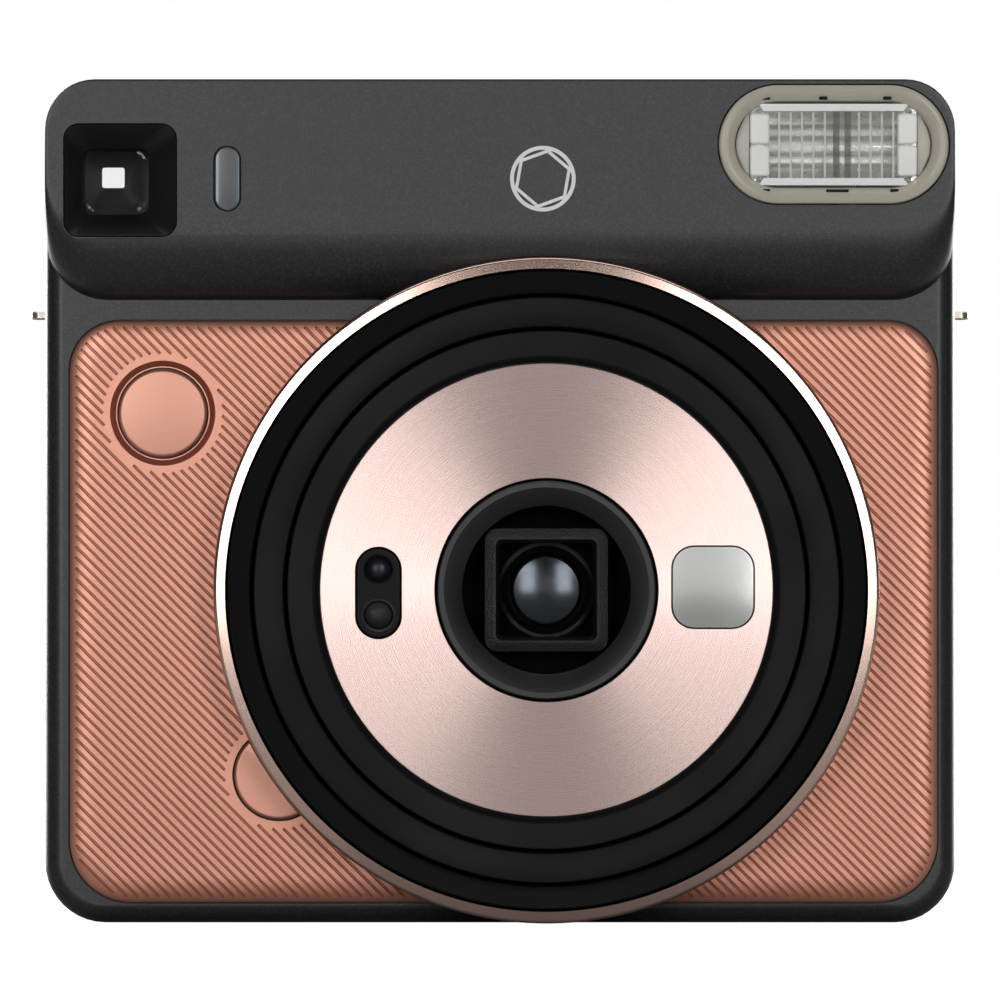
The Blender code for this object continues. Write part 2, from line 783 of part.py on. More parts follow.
def film_claw():
    left = PACK_LEFT - CHASSIS_WALL
    claw = box(
        "film_claw",
        (left - 0.0018, CLAW_Y - 0.0016, CLAW_Z),
        (left - GAP, CLAW_Y + 0.0016, CLAW_Z + 0.03),
        STEEL,
    )
    hook = box(
        "claw_hook",
        (left - 0.001, CLAW_Y - 0.0012, CLAW_Z),
        (PACK_LEFT + 0.0007, CLAW_Y + 0.0012, CLAW_Z + 0.003),
        STEEL,
    )
    weld(claw, hook)
    on_joint("film_claw_rail", (left - 0.001, CLAW_Y, CLAW_Z), claw)


def film_door():
    """Door, its latch, film window and the two leaf springs that press on the pack."""
    centre = ((DOOR_LEFT + DOOR_RIGHT) / 2, (DOOR_LOW + DOOR_TOP) / 2)
    half = ((DOOR_RIGHT - DOOR_LEFT) / 2, (DOOR_TOP - DOOR_LOW) / 2)
    loops = []
    for level, by in ((DOOR_BACK, 0), (REAR - 0.0012, 0), (REAR - 0.0004, 0.0004), (REAR, 0.0014)):
        outline = rounded(centre, (half[0] - by, half[1] - by), DOOR_CORNER - by)
        loops.append(raised(outline, level))
    door = loft("film_door", loops, GRAPHITE)
    low, high = DOOR_LOW + 0.0083, DOOR_TOP - 0.0083
    web = box(
        "knuckle_web",
        (DOOR_RIGHT - 0.001, HINGE[1] - 0.0009, low),
        (HINGE[0] - 0.0004, HINGE[1] + 0.0009, high),
        BLACK,
    )
    weld(door, web, rod("knuckle", HINGE, KNUCKLE_R, low, high, BLACK, "Z"))
    latch_room = rounded(
        (LATCH_X, LATCH_Z + LATCH_TRAVEL / 2),
        (LATCH_SIZE[0] / 2 + GAP, LATCH_SIZE[1] / 2 + LATCH_TRAVEL / 2 + GAP),
        0.0012,
    )
    cut(
        door,
        rod("knuckle_bore", HINGE, HINGE_PIN_R + GAP, low - PAST, high + PAST, BLACK, "Z"),
        box(
            "door_hollow",
            (LATCH_X + LATCH_SIZE[0] / 2 + 0.003, DOOR_BACK - PAST, PACK_LOW + PAST),
            (PACK_RIGHT - PAST, REAR - 0.00175, PACK_TOP - PAST),
            BLACK,
        ),
        prism("latch_room", latch_room, REAR - LATCH_DEPTH, REAR + PAST, BLACK),
        prism(
            "window_hole",
            rounded((LENS_X, LENS_Z), grown(PACK_WINDOW, GAP), 0.0015),
            DOOR_BACK - PAST,
            REAR + PAST,
            BLACK,
        ),
    )
    window = prism(
        "film_window",
        rounded((LENS_X, LENS_Z), grown(PACK_WINDOW, 0), 0.0012),
        REAR - 0.0016,
        REAR - 0.0004,
        CLEAR,
    )
    latch = prism(
        "door_latch",
        rounded((LATCH_X, LATCH_Z), grown(LATCH_SIZE, 0), 0.001),
        REAR - LATCH_DEPTH + GAP,
        REAR - 0.0001,
        BLACK,
    )
    pieces = [door, window]
    for name, side in (("low", -1), ("high", 1)):
        z = LENS_Z + side * 0.026
        back, bow = REAR - 0.00175 - GAP, 0.0045
        arc = [(LENS_X + 0.024 * i / 6, back - bow * (1 - (i / 6) ** 2)) for i in range(-6, 7)]
        outline = arc + [(x, y - 0.0004) for x, y in reversed(arc)]
        pieces.append(prism("pack_spring_" + name, outline, z - 0.005, z + 0.005, STEEL, "Z"))
    on_joint("film_door_hinge", (*HINGE, LENS_Z), *pieces)
    on_joint("door_latch_slide", (LATCH_X, REAR, LATCH_Z), latch)
    rod("hinge_pin", HINGE, HINGE_PIN_R, DOOR_LOW + 0.0022, DOOR_TOP - 0.0022, STEEL, "Z", 12)


def power():
    """Battery holder, two cells and the door under them."""
    reach = BATTERY_R + RUN
    low = PACK_LOW - 0.0022
    top = low + 2 * BATTERY_LENGTH + 0.003
    holder = box(
        "battery_holder",
        (BATTERY_X - reach - HOLDER_WALL, PARTING + RUN, low),
        (BATTERY_X + reach + HOLDER_WALL, REAR_INSIDE - RUN, top),
        BLACK,
    )
    cut(holder, rod("battery_bore", (BATTERY_X, BATTERY_Y), reach, low - PAST, top - HOLDER_WALL, BLACK, "Z", 32))
    z = low + 0.0004
    for name in ("battery_lower", "battery_upper"):
        profile = (
            (0, z),
            (BATTERY_R, z),
            (BATTERY_R, z + BATTERY_LENGTH - 0.0008),
            (0.003, z + BATTERY_LENGTH - 0.0008),
            (0.003, z + BATTERY_LENGTH),
            (0, z + BATTERY_LENGTH),
        )
        turned(name, profile, SLEEVE, (BATTERY_X, BATTERY_Y), "Z", 24)
        z += BATTERY_LENGTH + GAP
    door = box(
        "battery_door",
        (BATTERY_DOOR_LEFT, BATTERY_Y - reach, 0.0003),
        (BATTERY_DOOR_RIGHT, BATTERY_Y + reach, 0.0019),
        GRAPHITE,
    )
    knuckle = rod(
        "battery_knuckle",
        (BATTERY_HINGE[0], BATTERY_HINGE[1]),
        0.0008,
        BATTERY_Y - reach,
        BATTERY_Y + reach,
        BLACK,
    )
    web = box(
        "battery_web",
        (BATTERY_HINGE[0], BATTERY_Y - reach + 0.002, BATTERY_HINGE[1] - 0.0006),
        (BATTERY_DOOR_LEFT + 0.0005, BATTERY_Y + reach - 0.002, BATTERY_HINGE[1] + 0.0006),
        BLACK,
    )
    weld(door, knuckle, web)
    on_joint("battery_door_hinge", (BATTERY_HINGE[0], BATTERY_Y, BATTERY_HINGE[1]), door)


# ---------------------------------------------------------------- lens
def lens_turned(name, profile, look, steps=LARGE):
    return turned(name, profile, look, (LENS_X, LENS_Z), "Y", steps)


def lens_barrels():
    rear = LIGHT_BOX_FRONT - GAP
    ring_in = RING_R - RING_WALL
    lens_ring = (
        (ring_in, PANEL_FACE - GAP),
        (RING_R, PANEL_FACE - GAP),
        (RING_R, FRONT + 0.0009),
        (RING_R - 0.0004, FRONT + 0.00015),
        (RING_R - 0.0009, FRONT),
        (ring_in + 0.0004, FRONT),
        (ring_in, FRONT + 0.0004),
    )
    lens_turned("lens_ring", lens_ring, ROSE)
    fixed_in = BARREL_R - FIXED_WALL
    fixed = (
        (fixed_in, FRONT + 0.0027),
        (BARREL_R, FRONT + 0.0005),
        (BARREL_R, rear),
        (fixed_in, rear),
    )
    lens_turned("fixed_barrel", fixed, BLACK)
    outer = fixed_in - RUN
    outer_in = outer - OUTER_WALL
    stored = rear - 0.0007
    tube = (
        (outer_in, STAGE_FRONT),
        (outer, STAGE_FRONT),
        (outer, stored),
        (outer_in, stored),
    )
    outer_barrel = lens_turned("outer_barrel", tube, BLACK)
    on_joint("outer_barrel_slide", (LENS_X, STAGE_FRONT, LENS_Z), outer_barrel)
    inner = outer_in - RUN
    inner_profile = (
        (INNER_HOLE, BULKHEAD + 0.002),
        (INNER_HOLE, BULKHEAD),
        (inner - INNER_RIM, BULKHEAD),
        (inner - INNER_RIM, STAGE_FRONT - 0.0003),
        (inner, STAGE_FRONT - 0.0003),
        (inner, stored),
        (inner - 0.0025, stored),
        (inner - 0.0025, BULKHEAD + 0.002),
    )
    inner_barrel = lens_turned("inner_barrel", inner_profile, BLACK)
    sensor_hole = rounded(SENSOR, grown(SENSOR_SIZE, GAP), SENSOR_SIZE[0] / 2 + GAP - EASE)
    cut(inner_barrel, prism("sensor_hole", sensor_hole, BULKHEAD - PAST, BULKHEAD + 0.003, BLACK))
    return [inner_barrel]


def lens_front():
    """Brushed front plate, mirror, sensor cover and the bezel round the glass."""
    plate_front, plate_back = BULKHEAD - PLATE_PROUD, BULKHEAD - GAP
    plate = lens_turned(
        "front_plate",
        (
            (BEZEL_R + GAP, plate_front),
            (PLATE_R - 0.0002, plate_front),
            (PLATE_R, plate_front + 0.0002),
            (PLATE_R, plate_back),
            (BEZEL_R + GAP, plate_back),
        ),
        ROSE,
    )
    sensor_outline = rounded(SENSOR, grown(SENSOR_SIZE, GAP), SENSOR_SIZE[0] / 2 + GAP - EASE)
    mirror_outline = rounded(MIRROR, grown(MIRROR_SIZE, GAP), 0.0033)
    ahead, behind = plate_front - PAST, plate_back + PAST
    cut(
        plate,
        prism("plate_sensor_hole", sensor_outline, ahead, behind, BLACK),
        prism("plate_mirror_hole", mirror_outline, ahead, behind, BLACK),
    )
    mirror = prism(
        "selfie_mirror",
        rounded(MIRROR, grown(MIRROR_SIZE, 0), 0.003),
        plate_front - 0.0001,
        plate_back,
        STEEL,
    )
    cover = prism(
        "sensor_cover",
        rounded(SENSOR, grown(SENSOR_SIZE, 0), SENSOR_SIZE[0] / 2 - EASE),
        plate_front - 0.0003,
        BULKHEAD + 0.0017,
        BLACK,
    )
    pieces = [plate, mirror, cover]
    for name, lift, radius in (("light_sensor", 0.0033, 0.0018), ("flash_sensor", -0.0031, 0.002)):
        spot = (SENSOR[0], SENSOR[1] + lift)
        cut(cover, rod(name + "_well", spot, 0.00262, plate_front - PAST, BULKHEAD + 0.0007, BLACK))
        pieces.append(
            turned(
                name,
                (
                    (0, BULKHEAD + 0.0007 - GAP),
                    (radius, BULKHEAD + 0.0007 - GAP),
                    (radius, BULKHEAD - 0.0002),
                    (radius * 0.6, BULKHEAD - 0.0005),
                    (0, BULKHEAD - 0.0006),
                ),
                GLASS,
                spot,
                "Y",
                SMALL,
            )
        )
    face = plate_front - 0.0004
    floor = face + 0.0058
    bezel = (
        (BEZEL_R, floor + 0.0033),
        (BEZEL_R, face + 0.0004),
        (BEZEL_R - 0.0009, face),
        (CONE_R, face + 0.0013),
        (CONE_R, floor),
        (CELL_R + GAP, floor),
        (CELL_R + GAP, floor + 0.0015),
        (BEZEL_R - 0.002, floor + 0.0015),
        (BEZEL_R - 0.002, floor + 0.0033),
    )
    pieces.append(lens_turned("lens_bezel", bezel, BLACK))
    centre = (LENS_X, LENS_Z)
    wide, narrow = 0.0072, CELL_R + 0.0006
    pieces.append(
        loft(
            "square_hood",
            [
                raised(rounded(centre, (HOOD_HALF - 0.0005,) * 2, 0.0018), floor - 0.0032),
                raised(rounded(centre, (HOOD_HALF,) * 2, 0.002), floor - 0.0027),
                raised(rounded(centre, (HOOD_HALF,) * 2, 0.002), floor - GAP),
                raised(rounded(centre, (narrow,) * 2, 0.0012), floor - GAP),
                raised(rounded(centre, (narrow,) * 2, 0.0012), floor - 0.0017),
                raised(rounded(centre, (wide,) * 2, 0.0012), floor - 0.0032),
            ],
            BLACK,
            tube=True,
        )
    )
    cell_bore = GLASS_R + GAP
    pieces.append(
        lens_turned(
            "lens_cell",
            (
                (cell_bore, floor - 0.0022),
                (CELL_R - 0.0006, floor - 0.0022),
                (CELL_R, floor - 0.0016),
                (CELL_R, floor + 0.0032),
                (cell_bore, floor + 0.0032),
            ),
            BLACK,
            32,
        )
    )
    pieces.append(
        lens_turned(
            "front_lens",
            (
                (0, floor + 0.0016),
                (GLASS_R, floor + 0.0012),
                (GLASS_R, floor - 0.0004),
                (GLASS_R * 0.66, floor - 0.0013),
                (GLASS_R * 0.33, floor - 0.0017),
                (0, floor - 0.0018),
            ),
            GLASS,
            24,
        )
    )
    return pieces, floor


def shutter(front):
    """Housing with two swinging blades behind the front lens, and the rear lens."""
    housing = lens_turned(
        "shutter_housing",
        (
            (APERTURE_R + 0.0008, front),
            (SHUTTER_R, front),
            (SHUTTER_R, front + 0.0047),
            (SHUTTER_R - 0.0014, front + 0.0047),
            (SHUTTER_R - 0.0014, front + 0.0012),
            (APERTURE_R + 0.0008, front + 0.0012),
        ),
        BLACK,
        32,
    )
    back = front + 0.0034
    plate = lens_turned(
        "shutter_plate",
        (
            (APERTURE_R, back),
            (SHUTTER_R - 0.0014 - GAP, back),
            (SHUTTER_R - 0.0014 - GAP, back + 0.0012),
            (0.0068, back + 0.0012),
            (0.0068, back + 0.004),
            (0.0054, back + 0.004),
            (0.0054, back + 0.0016),
            (APERTURE_R, back + 0.0012),
        ),
        BLACK,
        32,
    )
    rear_lens = lens_turned(
        "rear_lens",
        (
            (0, back + 0.0036),
            (0.005, back + 0.0032),
            (0.005, back + 0.0022),
            (0, back + 0.0018),
        ),
        GLASS,
        24,
    )
    for name, side, depth in (("shutter_blade_left", -1, 0.0004), ("shutter_blade_right", 1, 0.0013)):
        pivot = (LENS_X + side * BLADE_PIVOT, LENS_Z)
        weld(plate, rod(name + "_pin", pivot, PIVOT_R, front + 0.0012 + GAP, back + 0.0005, STEEL, steps=12))
        outline = []
        inward = math.pi if side > 0 else 0
        spread = math.radians(52)
        eye = (LENS_X + side * 0.0014, LENS_Z)
        for i in range(9):
            turn = inward - spread - math.pi / 2 + (2 * spread + math.pi) * i / 8
            outline.append((eye[0] + 0.0045 * math.cos(turn), eye[1] + 0.0045 * math.sin(turn)))
        for i in range(5):
            turn = inward + math.pi / 2 + 0.35 + (math.pi - 0.7) * i / 4
            outline.append((pivot[0] + 0.0021 * math.cos(turn), pivot[1] + 0.0021 * math.sin(turn)))
        level = front + 0.0012 + depth
        blade = prism(name, outline, level, level + 0.0004, STEEL)
        cut(blade, rod(name + "_eye", pivot, PIVOT_R + GAP, level - PAST, level + PAST, STEEL, steps=12))
        on_joint(name + "_pivot", (pivot[0], level, pivot[1]), blade)
    return [housing, plate, rear_lens]


def lens():
    barrel_pieces = lens_barrels()
    front_pieces, floor = lens_front()
    shutter_pieces = shutter(floor + 0.0036)
    moving = barrel_pieces + front_pieces + shutter_pieces
    on_joint("inner_barrel_slide", (LENS_X, STAGE_FRONT, LENS_Z), *moving)


# ---------------------------------------------------------------- buttons, windows, electrics
def buttons():
    face, back = PANEL_FACE - 0.0003, POCKET_FLOOR - BUTTON_TRAVEL - 0.0001
    shutter_profile = (
        (0, face),
        (SHUTTER_BUTTON_R - 0.0003, face),
        (SHUTTER_BUTTON_R, face + 0.0002),
        (SHUTTER_BUTTON_R, back),
        (0.002, back),
        (0.002, FRONT_INSIDE + 0.003),
        (0, FRONT_INSIDE + 0.003),
    )
    release = turned("shutter_button", shutter_profile, COPPER, SHUTTER_BUTTON, "Y", 32)
    on_joint("shutter_button_press", (SHUTTER_BUTTON[0], face, SHUTTER_BUTTON[1]), release)
    face = PANEL_FACE - 0.0007
    disc = (
        (0, face),
        (LENS_BUTTON_R - 0.0008, face),
        (LENS_BUTTON_R - 0.0002, face + 0.0003),
        (LENS_BUTTON_R, face + 0.0008),
        (LENS_BUTTON_R, back),
        (0, back),
    )
    unlock = turned("lens_button", disc, COPPER, LENS_BUTTON, "Y", 32)
    cut(unlock, rod("lens_button_bite", (LENS_X, LENS_Z), RING_R + GAP, FRONT, 0, COPPER, steps=LARGE))
    weld(
        unlock,
        rod("lens_button_stem", LENS_BUTTON_STEM, LENS_STEM_R, back - 0.0004, FRONT_INSIDE + 0.003, COPPER),
    )
    on_joint("lens_button_press", (LENS_BUTTON[0], face, LENS_BUTTON[1]), unlock)
    for name, x in zip(("flash_button", "timer_button"), TOP_BUTTON_X):
        loops = []
        top = HEIGHT + TOP_BUTTON_PROUD
        for level, by in (
            (HEIGHT - WALL - 0.0026, 0.0003),
            (HEIGHT - WALL - BUTTON_TRAVEL * 0.4, 0.0003),
            (HEIGHT - WALL - BUTTON_TRAVEL * 0.4, 0),
            (top - 0.0004, 0),
            (top, -0.0005),
        ):
            outline = rounded((x, TOP_BUTTON_Y), grown(TOP_BUTTON, by), TOP_BUTTON[0] / 2 + by - EASE)
            loops.append(raised(outline, level, "Z"))
        key = loft(name, loops, COPPER)
        on_joint(name + "_press", (x, TOP_BUTTON_Y, top), key)
    mode_profile = (
        (0, REAR_INSIDE - 0.003),
        (0.0015, REAR_INSIDE - 0.003),
        (0.0015, REAR_INSIDE - GAP),
        (MODE_BUTTON_R, REAR_INSIDE - GAP),
        (MODE_BUTTON_R, BODY_REAR + 0.0006),
        (MODE_BUTTON_R - 0.0005, BODY_REAR + 0.0009),
        (0, BODY_REAR + 0.0009),
    )
    mode = turned("mode_button", mode_profile, COPPER, (MODE_X, MODE_Z), "Y", 24)
    on_joint("mode_button_press", (MODE_X, BODY_REAR, MODE_Z), mode)


def counter():
    wheel = turned(
        "counter_wheel",
        (
            (0, REAR_INSIDE - 0.0064),
            (0.0012, REAR_INSIDE - 0.0064),
            (0.0012, REAR_INSIDE - 0.0018),
            (COUNTER_R, REAR_INSIDE - 0.0018),
            (COUNTER_R, REAR_INSIDE - 0.0008),
            (0.0012, REAR_INSIDE - 0.0008),
            (0.0012, REAR_INSIDE - GAP),
            (0, REAR_INSIDE - GAP),
        ),
        WHITE,
        (MODE_X, COUNTER_Z),
        "Y",
        32,
    )
    on_joint("counter_wheel_axis", (MODE_X, REAR_INSIDE, COUNTER_Z), wheel)
    window = rounded((MODE_X, COUNTER_WINDOW_Z), grown(COUNTER_WINDOW, 0), 0.0007)
    prism("counter_window", window, BODY_REAR - 0.0013, BODY_REAR - 0.0001, CLEAR)


def viewfinder():
    centre, eye = (FINDER_X, FINDER_Z), (EYE_X, FINDER_Z)
    front, back = BROW_FRONT + 0.0002, BROW_FRONT + 0.0065
    loft(
        "viewfinder_frame",
        [
            raised(rounded(centre, (FINDER_HALF,) * 2, 0.00205), front),
            raised(rounded(centre, (FINDER_HALF,) * 2, 0.00205), back),
            raised(rounded(eye, (FINDER_EYE,) * 2, 0.0017), back),
            raised(rounded(centre, (FINDER_HALF - 0.0003,) * 2, 0.0018), front),
        ],
        BLACK,
        tube=True,
    )
    tube_front = back + GAP
    tube_back = REAR_INSIDE - 0.0042
    outline = rounded(eye, (FINDER_EYE + 0.001,) * 2, 0.002)
    tube = prism("viewfinder_tube", outline, tube_front, tube_back, BLACK)
    cut(
        tube,
        prism(
            "tube_bore",
            rounded(eye, (FINDER_EYE,) * 2, 0.0017),
            tube_front - PAST,
            tube_back + PAST,
            BLACK,
        ),
    )
    half = FINDER_EYE - GAP
    for name, start, end, bulge in (
        ("viewfinder_front_lens", back - 0.0004, back + 0.0014, -0.0004),
        ("eyepiece_lens", tube_back - 0.0024, tube_back - 0.0006, 0.0004),
    ):
        first, last = (start + bulge, end) if bulge < 0 else (start, end + bulge)
        loops = [raised(rounded(eye, (half,) * 2, 0.0015), level) for level in (start, end)]
        crown = raised(rounded(eye, (half * 0.6,) * 2, 0.0012), first if bulge < 0 else last)
        loft(name, [crown] + loops if bulge < 0 else loops + [crown], GLASS)
    back = tube_back + GAP
    loft(
        "eyepiece_frame",
        [
            raised(rounded(eye, (FINDER_EYE,) * 2, 0.0017), back),
            raised(rounded(eye, (EYEPIECE_HALF,) * 2, 0.002), back),
            raised(rounded(eye, (EYEPIECE_HALF,) * 2, 0.002), BODY_REAR + 0.0008),
            raised(rounded(eye, (EYEPIECE_HALF - 0.0006,) * 2, 0.0018), BODY_REAR + 0.0012),
        ],
        BLACK,
        tube=True,
    )
    lamp = rounded((LAMP_X, LAMP_Z), grown(LAMP_SIZE, 0), LAMP_SIZE[0] / 2 - EASE)
    prism("timer_lamp", lamp, BROW_FRONT + 0.0001, BROW_FRONT + 0.0035, CLEAR)


def flash():
    size = FLASH_SIZE
    centre = (FLASH_X, FLASH_Z)
    front, back = BROW_FRONT - 0.0006, BROW_FRONT + 0.0055
    wall = 0.0013
    loops = []
    for level, by in ((back, 0), (front + 0.0005, 0), (front, -0.0006)):
        outline = rounded(centre, grown(size, by), size[1] / 2 + by - EASE, steps=8)
        loops.append(raised(outline, level))
    window = loft("flash_window", loops, CLEAR)
    room = rounded(centre, grown(size, -wall), size[1] / 2 - wall - EASE, steps=8)
    cut(window, prism("flash_room", room, front + wall, back + PAST, CLEAR))
    mouth, throat = (0.011, 0.005), (0.0094, 0.0027)
    start, end = front + wall + 0.0007, front + wall + 0.009
    wall = 0.0006
    loft(
        "flash_reflector",
        [
            raised(rounded(centre, (mouth[0] + wall, mouth[1] + wall), 0.001), start),
            raised(rounded(centre, (throat[0] + wall, throat[1] + wall), 0.001), end),
            raised(rounded(centre, throat, 0.0006), end),
            raised(rounded(centre, mouth, 0.0006), start),
        ],
        BRIGHT,
        tube=True,
    )
    tube_x = throat[0] - GAP
    rod("flash_tube", (end - 0.002, FLASH_Z), 0.0015, FLASH_X - tube_x, FLASH_X + tube_x, GLASS, "X")
    capacitor = (HALF - 0.009, BATTERY_Y)
    low = PACK_LOW + 0.054
    turned(
        "flash_capacitor",
        (
            (0, low),
            (0.0049, low),
            (0.0054, low + 0.0005),
            (0.0054, low + 0.0295),
            (0.0049, low + 0.03),
            (0, low + 0.03),
        ),
        SLEEVE,
        capacitor,
        "Z",
        24,
    )


def inside_front():
    board_low = LENS_Z + RING_R + 0.0004
    box(
        "circuit_board",
        (LAMP_X + 0.0042, FRONT_INSIDE + 0.0015, board_low),
        (FLASH_X - 0.0198, FRONT_INSIDE + 0.0027, HEIGHT - WALL - 0.002),
        BOARD,
    )
    turned(
        "tripod_socket",
        (
            (0, 0.0095),
            (0.0045, 0.0095),
            (0.0045, GAP),
            (TRIPOD_BORE_R, GAP),
            (TRIPOD_BORE_R, 0.0085),
            (0, 0.0085),
        ),
        STEEL,
        (TRIPOD_X, BATTERY_Y),
        "Z",
        24,
    )


clear_scene()
front_cover()
left_panel_holes(front_panel("front_panel_left", -1))
front_panel("front_panel_right", 1)
rear_cover()
strap_lugs()
chassis()
rollers()
film_claw()
film_door()
power()
lens()
buttons()
counter()
viewfinder()
flash()
inside_front()
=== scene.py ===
"""Looks of an instant film camera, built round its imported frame. Metres, +Z up; the lens looks along -Y."""
import math

import bpy
from mathutils import Matrix, Vector


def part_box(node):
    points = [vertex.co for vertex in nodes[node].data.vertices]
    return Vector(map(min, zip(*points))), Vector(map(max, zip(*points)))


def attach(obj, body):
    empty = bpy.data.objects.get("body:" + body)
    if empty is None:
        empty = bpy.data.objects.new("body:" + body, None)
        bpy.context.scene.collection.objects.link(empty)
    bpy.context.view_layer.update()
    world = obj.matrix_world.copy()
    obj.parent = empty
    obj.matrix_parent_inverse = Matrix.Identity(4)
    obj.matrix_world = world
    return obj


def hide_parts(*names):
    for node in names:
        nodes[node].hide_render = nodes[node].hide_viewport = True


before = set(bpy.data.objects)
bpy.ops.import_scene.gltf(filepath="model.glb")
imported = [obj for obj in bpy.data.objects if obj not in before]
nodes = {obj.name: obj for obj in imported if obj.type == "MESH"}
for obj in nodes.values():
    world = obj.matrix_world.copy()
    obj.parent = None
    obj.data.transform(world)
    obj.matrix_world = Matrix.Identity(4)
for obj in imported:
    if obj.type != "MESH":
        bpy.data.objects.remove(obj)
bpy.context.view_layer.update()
scene = bpy.context.scene

# ---- Studio: camera, lights and floor
# A long lens level with the body's middle, a tall soft box at each side of it, a wide weak fill in front,
# one above, a stronger one at each side behind, and a plain light grey table.
cover_low, cover_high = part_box("front_cover")
HALF_WIDTH = cover_high.x
HEIGHT = cover_high.z
SHOT_DISTANCE = 1.5
SHOT_WIDTH = 0.1408  # what the picture spans at the body
SHOT_CENTRE = (0.0, HEIGHT / 2 + 0.00015)
SENSOR = 0.036


def srgb(hex_colour):
    """An sRGB hex colour as linear RGBA."""
    parts = [int(hex_colour[i : i + 2], 16) / 255 for i in (1, 3, 5)]
    return (*(c / 12.92 if c <= 0.04045 else ((c + 0.055) / 1.055) ** 2.4 for c in parts), 1.0)


def add_object(name, data):
    made = bpy.data.objects.new(name, data)
    scene.collection.objects.link(made)
    return made


shot = bpy.data.cameras.new("studio_camera")
shot.sensor_width = SENSOR * 1000
shot.lens = SENSOR * 1000 * (SHOT_DISTANCE - 0.017) / SHOT_WIDTH
shot.clip_start = 0.05
camera = add_object("studio_camera", shot)
camera.location = (SHOT_CENTRE[0], -SHOT_DISTANCE, SHOT_CENTRE[1])
camera.rotation_euler = (math.pi / 2, 0, 0)
scene.camera = camera
scene.view_settings.view_transform = "Standard"


def soft_box(name, place, target, size, watts, colour="#ffffff"):
    lamp = bpy.data.lights.new(name, "AREA")
    lamp.shape = "RECTANGLE"
    lamp.size, lamp.size_y = size
    lamp.energy = watts
    lamp.color = srgb(colour)[:3]
    made = add_object(name, lamp)
    made.location = place
    made.rotation_euler = (Vector(target) - Vector(place)).to_track_quat("-Z", "Y").to_euler()
    return made


middle = (0, 0, HEIGHT / 2)
BOX_ANGLE = math.radians(17)  # each side box stands this far round from the lens
BOX_DISTANCE = 1.3
for side, name in ((-1, "left"), (1, "right")):
    place = (side * BOX_DISTANCE * math.sin(BOX_ANGLE), -BOX_DISTANCE * math.cos(BOX_ANGLE), 0.14)
    soft_box(name + "_soft_box", place, middle, (0.3, 0.9), 6.0)
    rear_place = (side * 0.75, 0.95, 0.35)
    soft_box(name + "_rear_soft_box", rear_place, middle, (0.5, 0.8), 16.0)
soft_box("front_fill", (0, -1.75, 0.16), middle, (1.3, 0.5), 1.45)
soft_box("top_soft_box", (0, 0.1, 0.9), middle, (0.9, 0.7), 4.0)

world = bpy.data.worlds.new("studio_white")
scene.world = world
world.use_nodes = True


def add_node(tree, kind, values=None, links=None, **settings):
    """Adds a shader node: settings are its options, values its sockets' numbers, links what feeds them."""
    made = tree.nodes.new(kind)
    for option, value in settings.items():
        setattr(made, option, value)
    for socket, value in (values or {}).items():
        made.inputs[socket].default_value = value
    for socket, source in (links or {}).items():
        tree.links.new(source, made.inputs[socket])
    return made


sky = world.node_tree
sky.nodes.clear()
ray = add_node(sky, "ShaderNodeLightPath")
dim = add_node(sky, "ShaderNodeBackground", {"Color": srgb("#ffffff"), "Strength": 0.08})
bright = add_node(sky, "ShaderNodeBackground", {"Color": srgb("#ffffff"), "Strength": 1.0})
pick = add_node(
    sky,
    "ShaderNodeMixShader",
    links={0: ray.outputs["Is Camera Ray"], 1: dim.outputs[0], 2: bright.outputs[0]},
)
add_node(sky, "ShaderNodeOutputWorld", links={"Surface": pick.outputs[0]})


def new_material(name):
    """An empty node material; returns it with its tree, its shader and its object coordinates."""
    made = bpy.data.materials.new(name)
    made.use_nodes = True
    tree = made.node_tree
    shader = tree.nodes["Principled BSDF"]
    place = add_node(tree, "ShaderNodeTexCoord").outputs["Object"]
    return made, tree, shader, place


def set_shader(shader, **values):
    """Sets constants on a shader's own sockets; a name's underscores stand for spaces."""
    for name, value in values.items():
        shader.inputs[name.replace("_", " ")].default_value = value


def mesh_piece(name, points, faces, look, smooth_below=32):
    """A mesh object, smooth where its faces meet below an angle."""
    mesh = bpy.data.meshes.new(name)
    mesh.from_pydata([tuple(p) for p in points], [], faces)
    mesh.validate()
    volume = 0.0
    mesh.calc_loop_triangles()
    for tri in mesh.loop_triangles:
        a, b, c = (mesh.vertices[i].co for i in tri.vertices)
        volume += a.dot(b.cross(c))
    if volume < 0:
        mesh.flip_normals()
    mesh.materials.append(look)
    mesh.shade_smooth()
    mesh.set_sharp_from_angle(angle=math.radians(smooth_below))
    return add_object(name, mesh)


# Painted table board, matt and very slightly mottled by the roller.
board, tree, shader, place = new_material("matt_light_grey_board")
mottle = add_node(tree, "ShaderNodeTexNoise", {"Scale": 30.0, "Detail": 3.0}, {"Vector": place})
tone = add_node(tree, "ShaderNodeValToRGB", links={"Fac": mottle.outputs["Fac"]})
tone.color_ramp.elements[0].color = srgb("#959594")
tone.color_ramp.elements[1].color = srgb("#9c9c9b")
tree.links.new(tone.outputs["Color"], shader.inputs["Base Color"])
set_shader(shader, Roughness=0.8, Emission_Color=srgb("#ffffff"))
# it glows to the lens alone, so that it reads as white without lighting the piece from below
seen = add_node(
    tree,
    "ShaderNodeMapRange",
    {"To Min": 0.0, "To Max": 1.0},
    {"Value": add_node(tree, "ShaderNodeLightPath").outputs["Is Camera Ray"]},
)
tree.links.new(seen.outputs[0], shader.inputs["Emission Strength"])
TABLE_HALF = 3.0
points = [(x * TABLE_HALF, y * TABLE_HALF, -0.0002) for x, y in ((-1, -1), (1, -1), (1, 1), (-1, 1))]
floor = mesh_piece("studio_table", points, [(0, 1, 2, 3)], board)

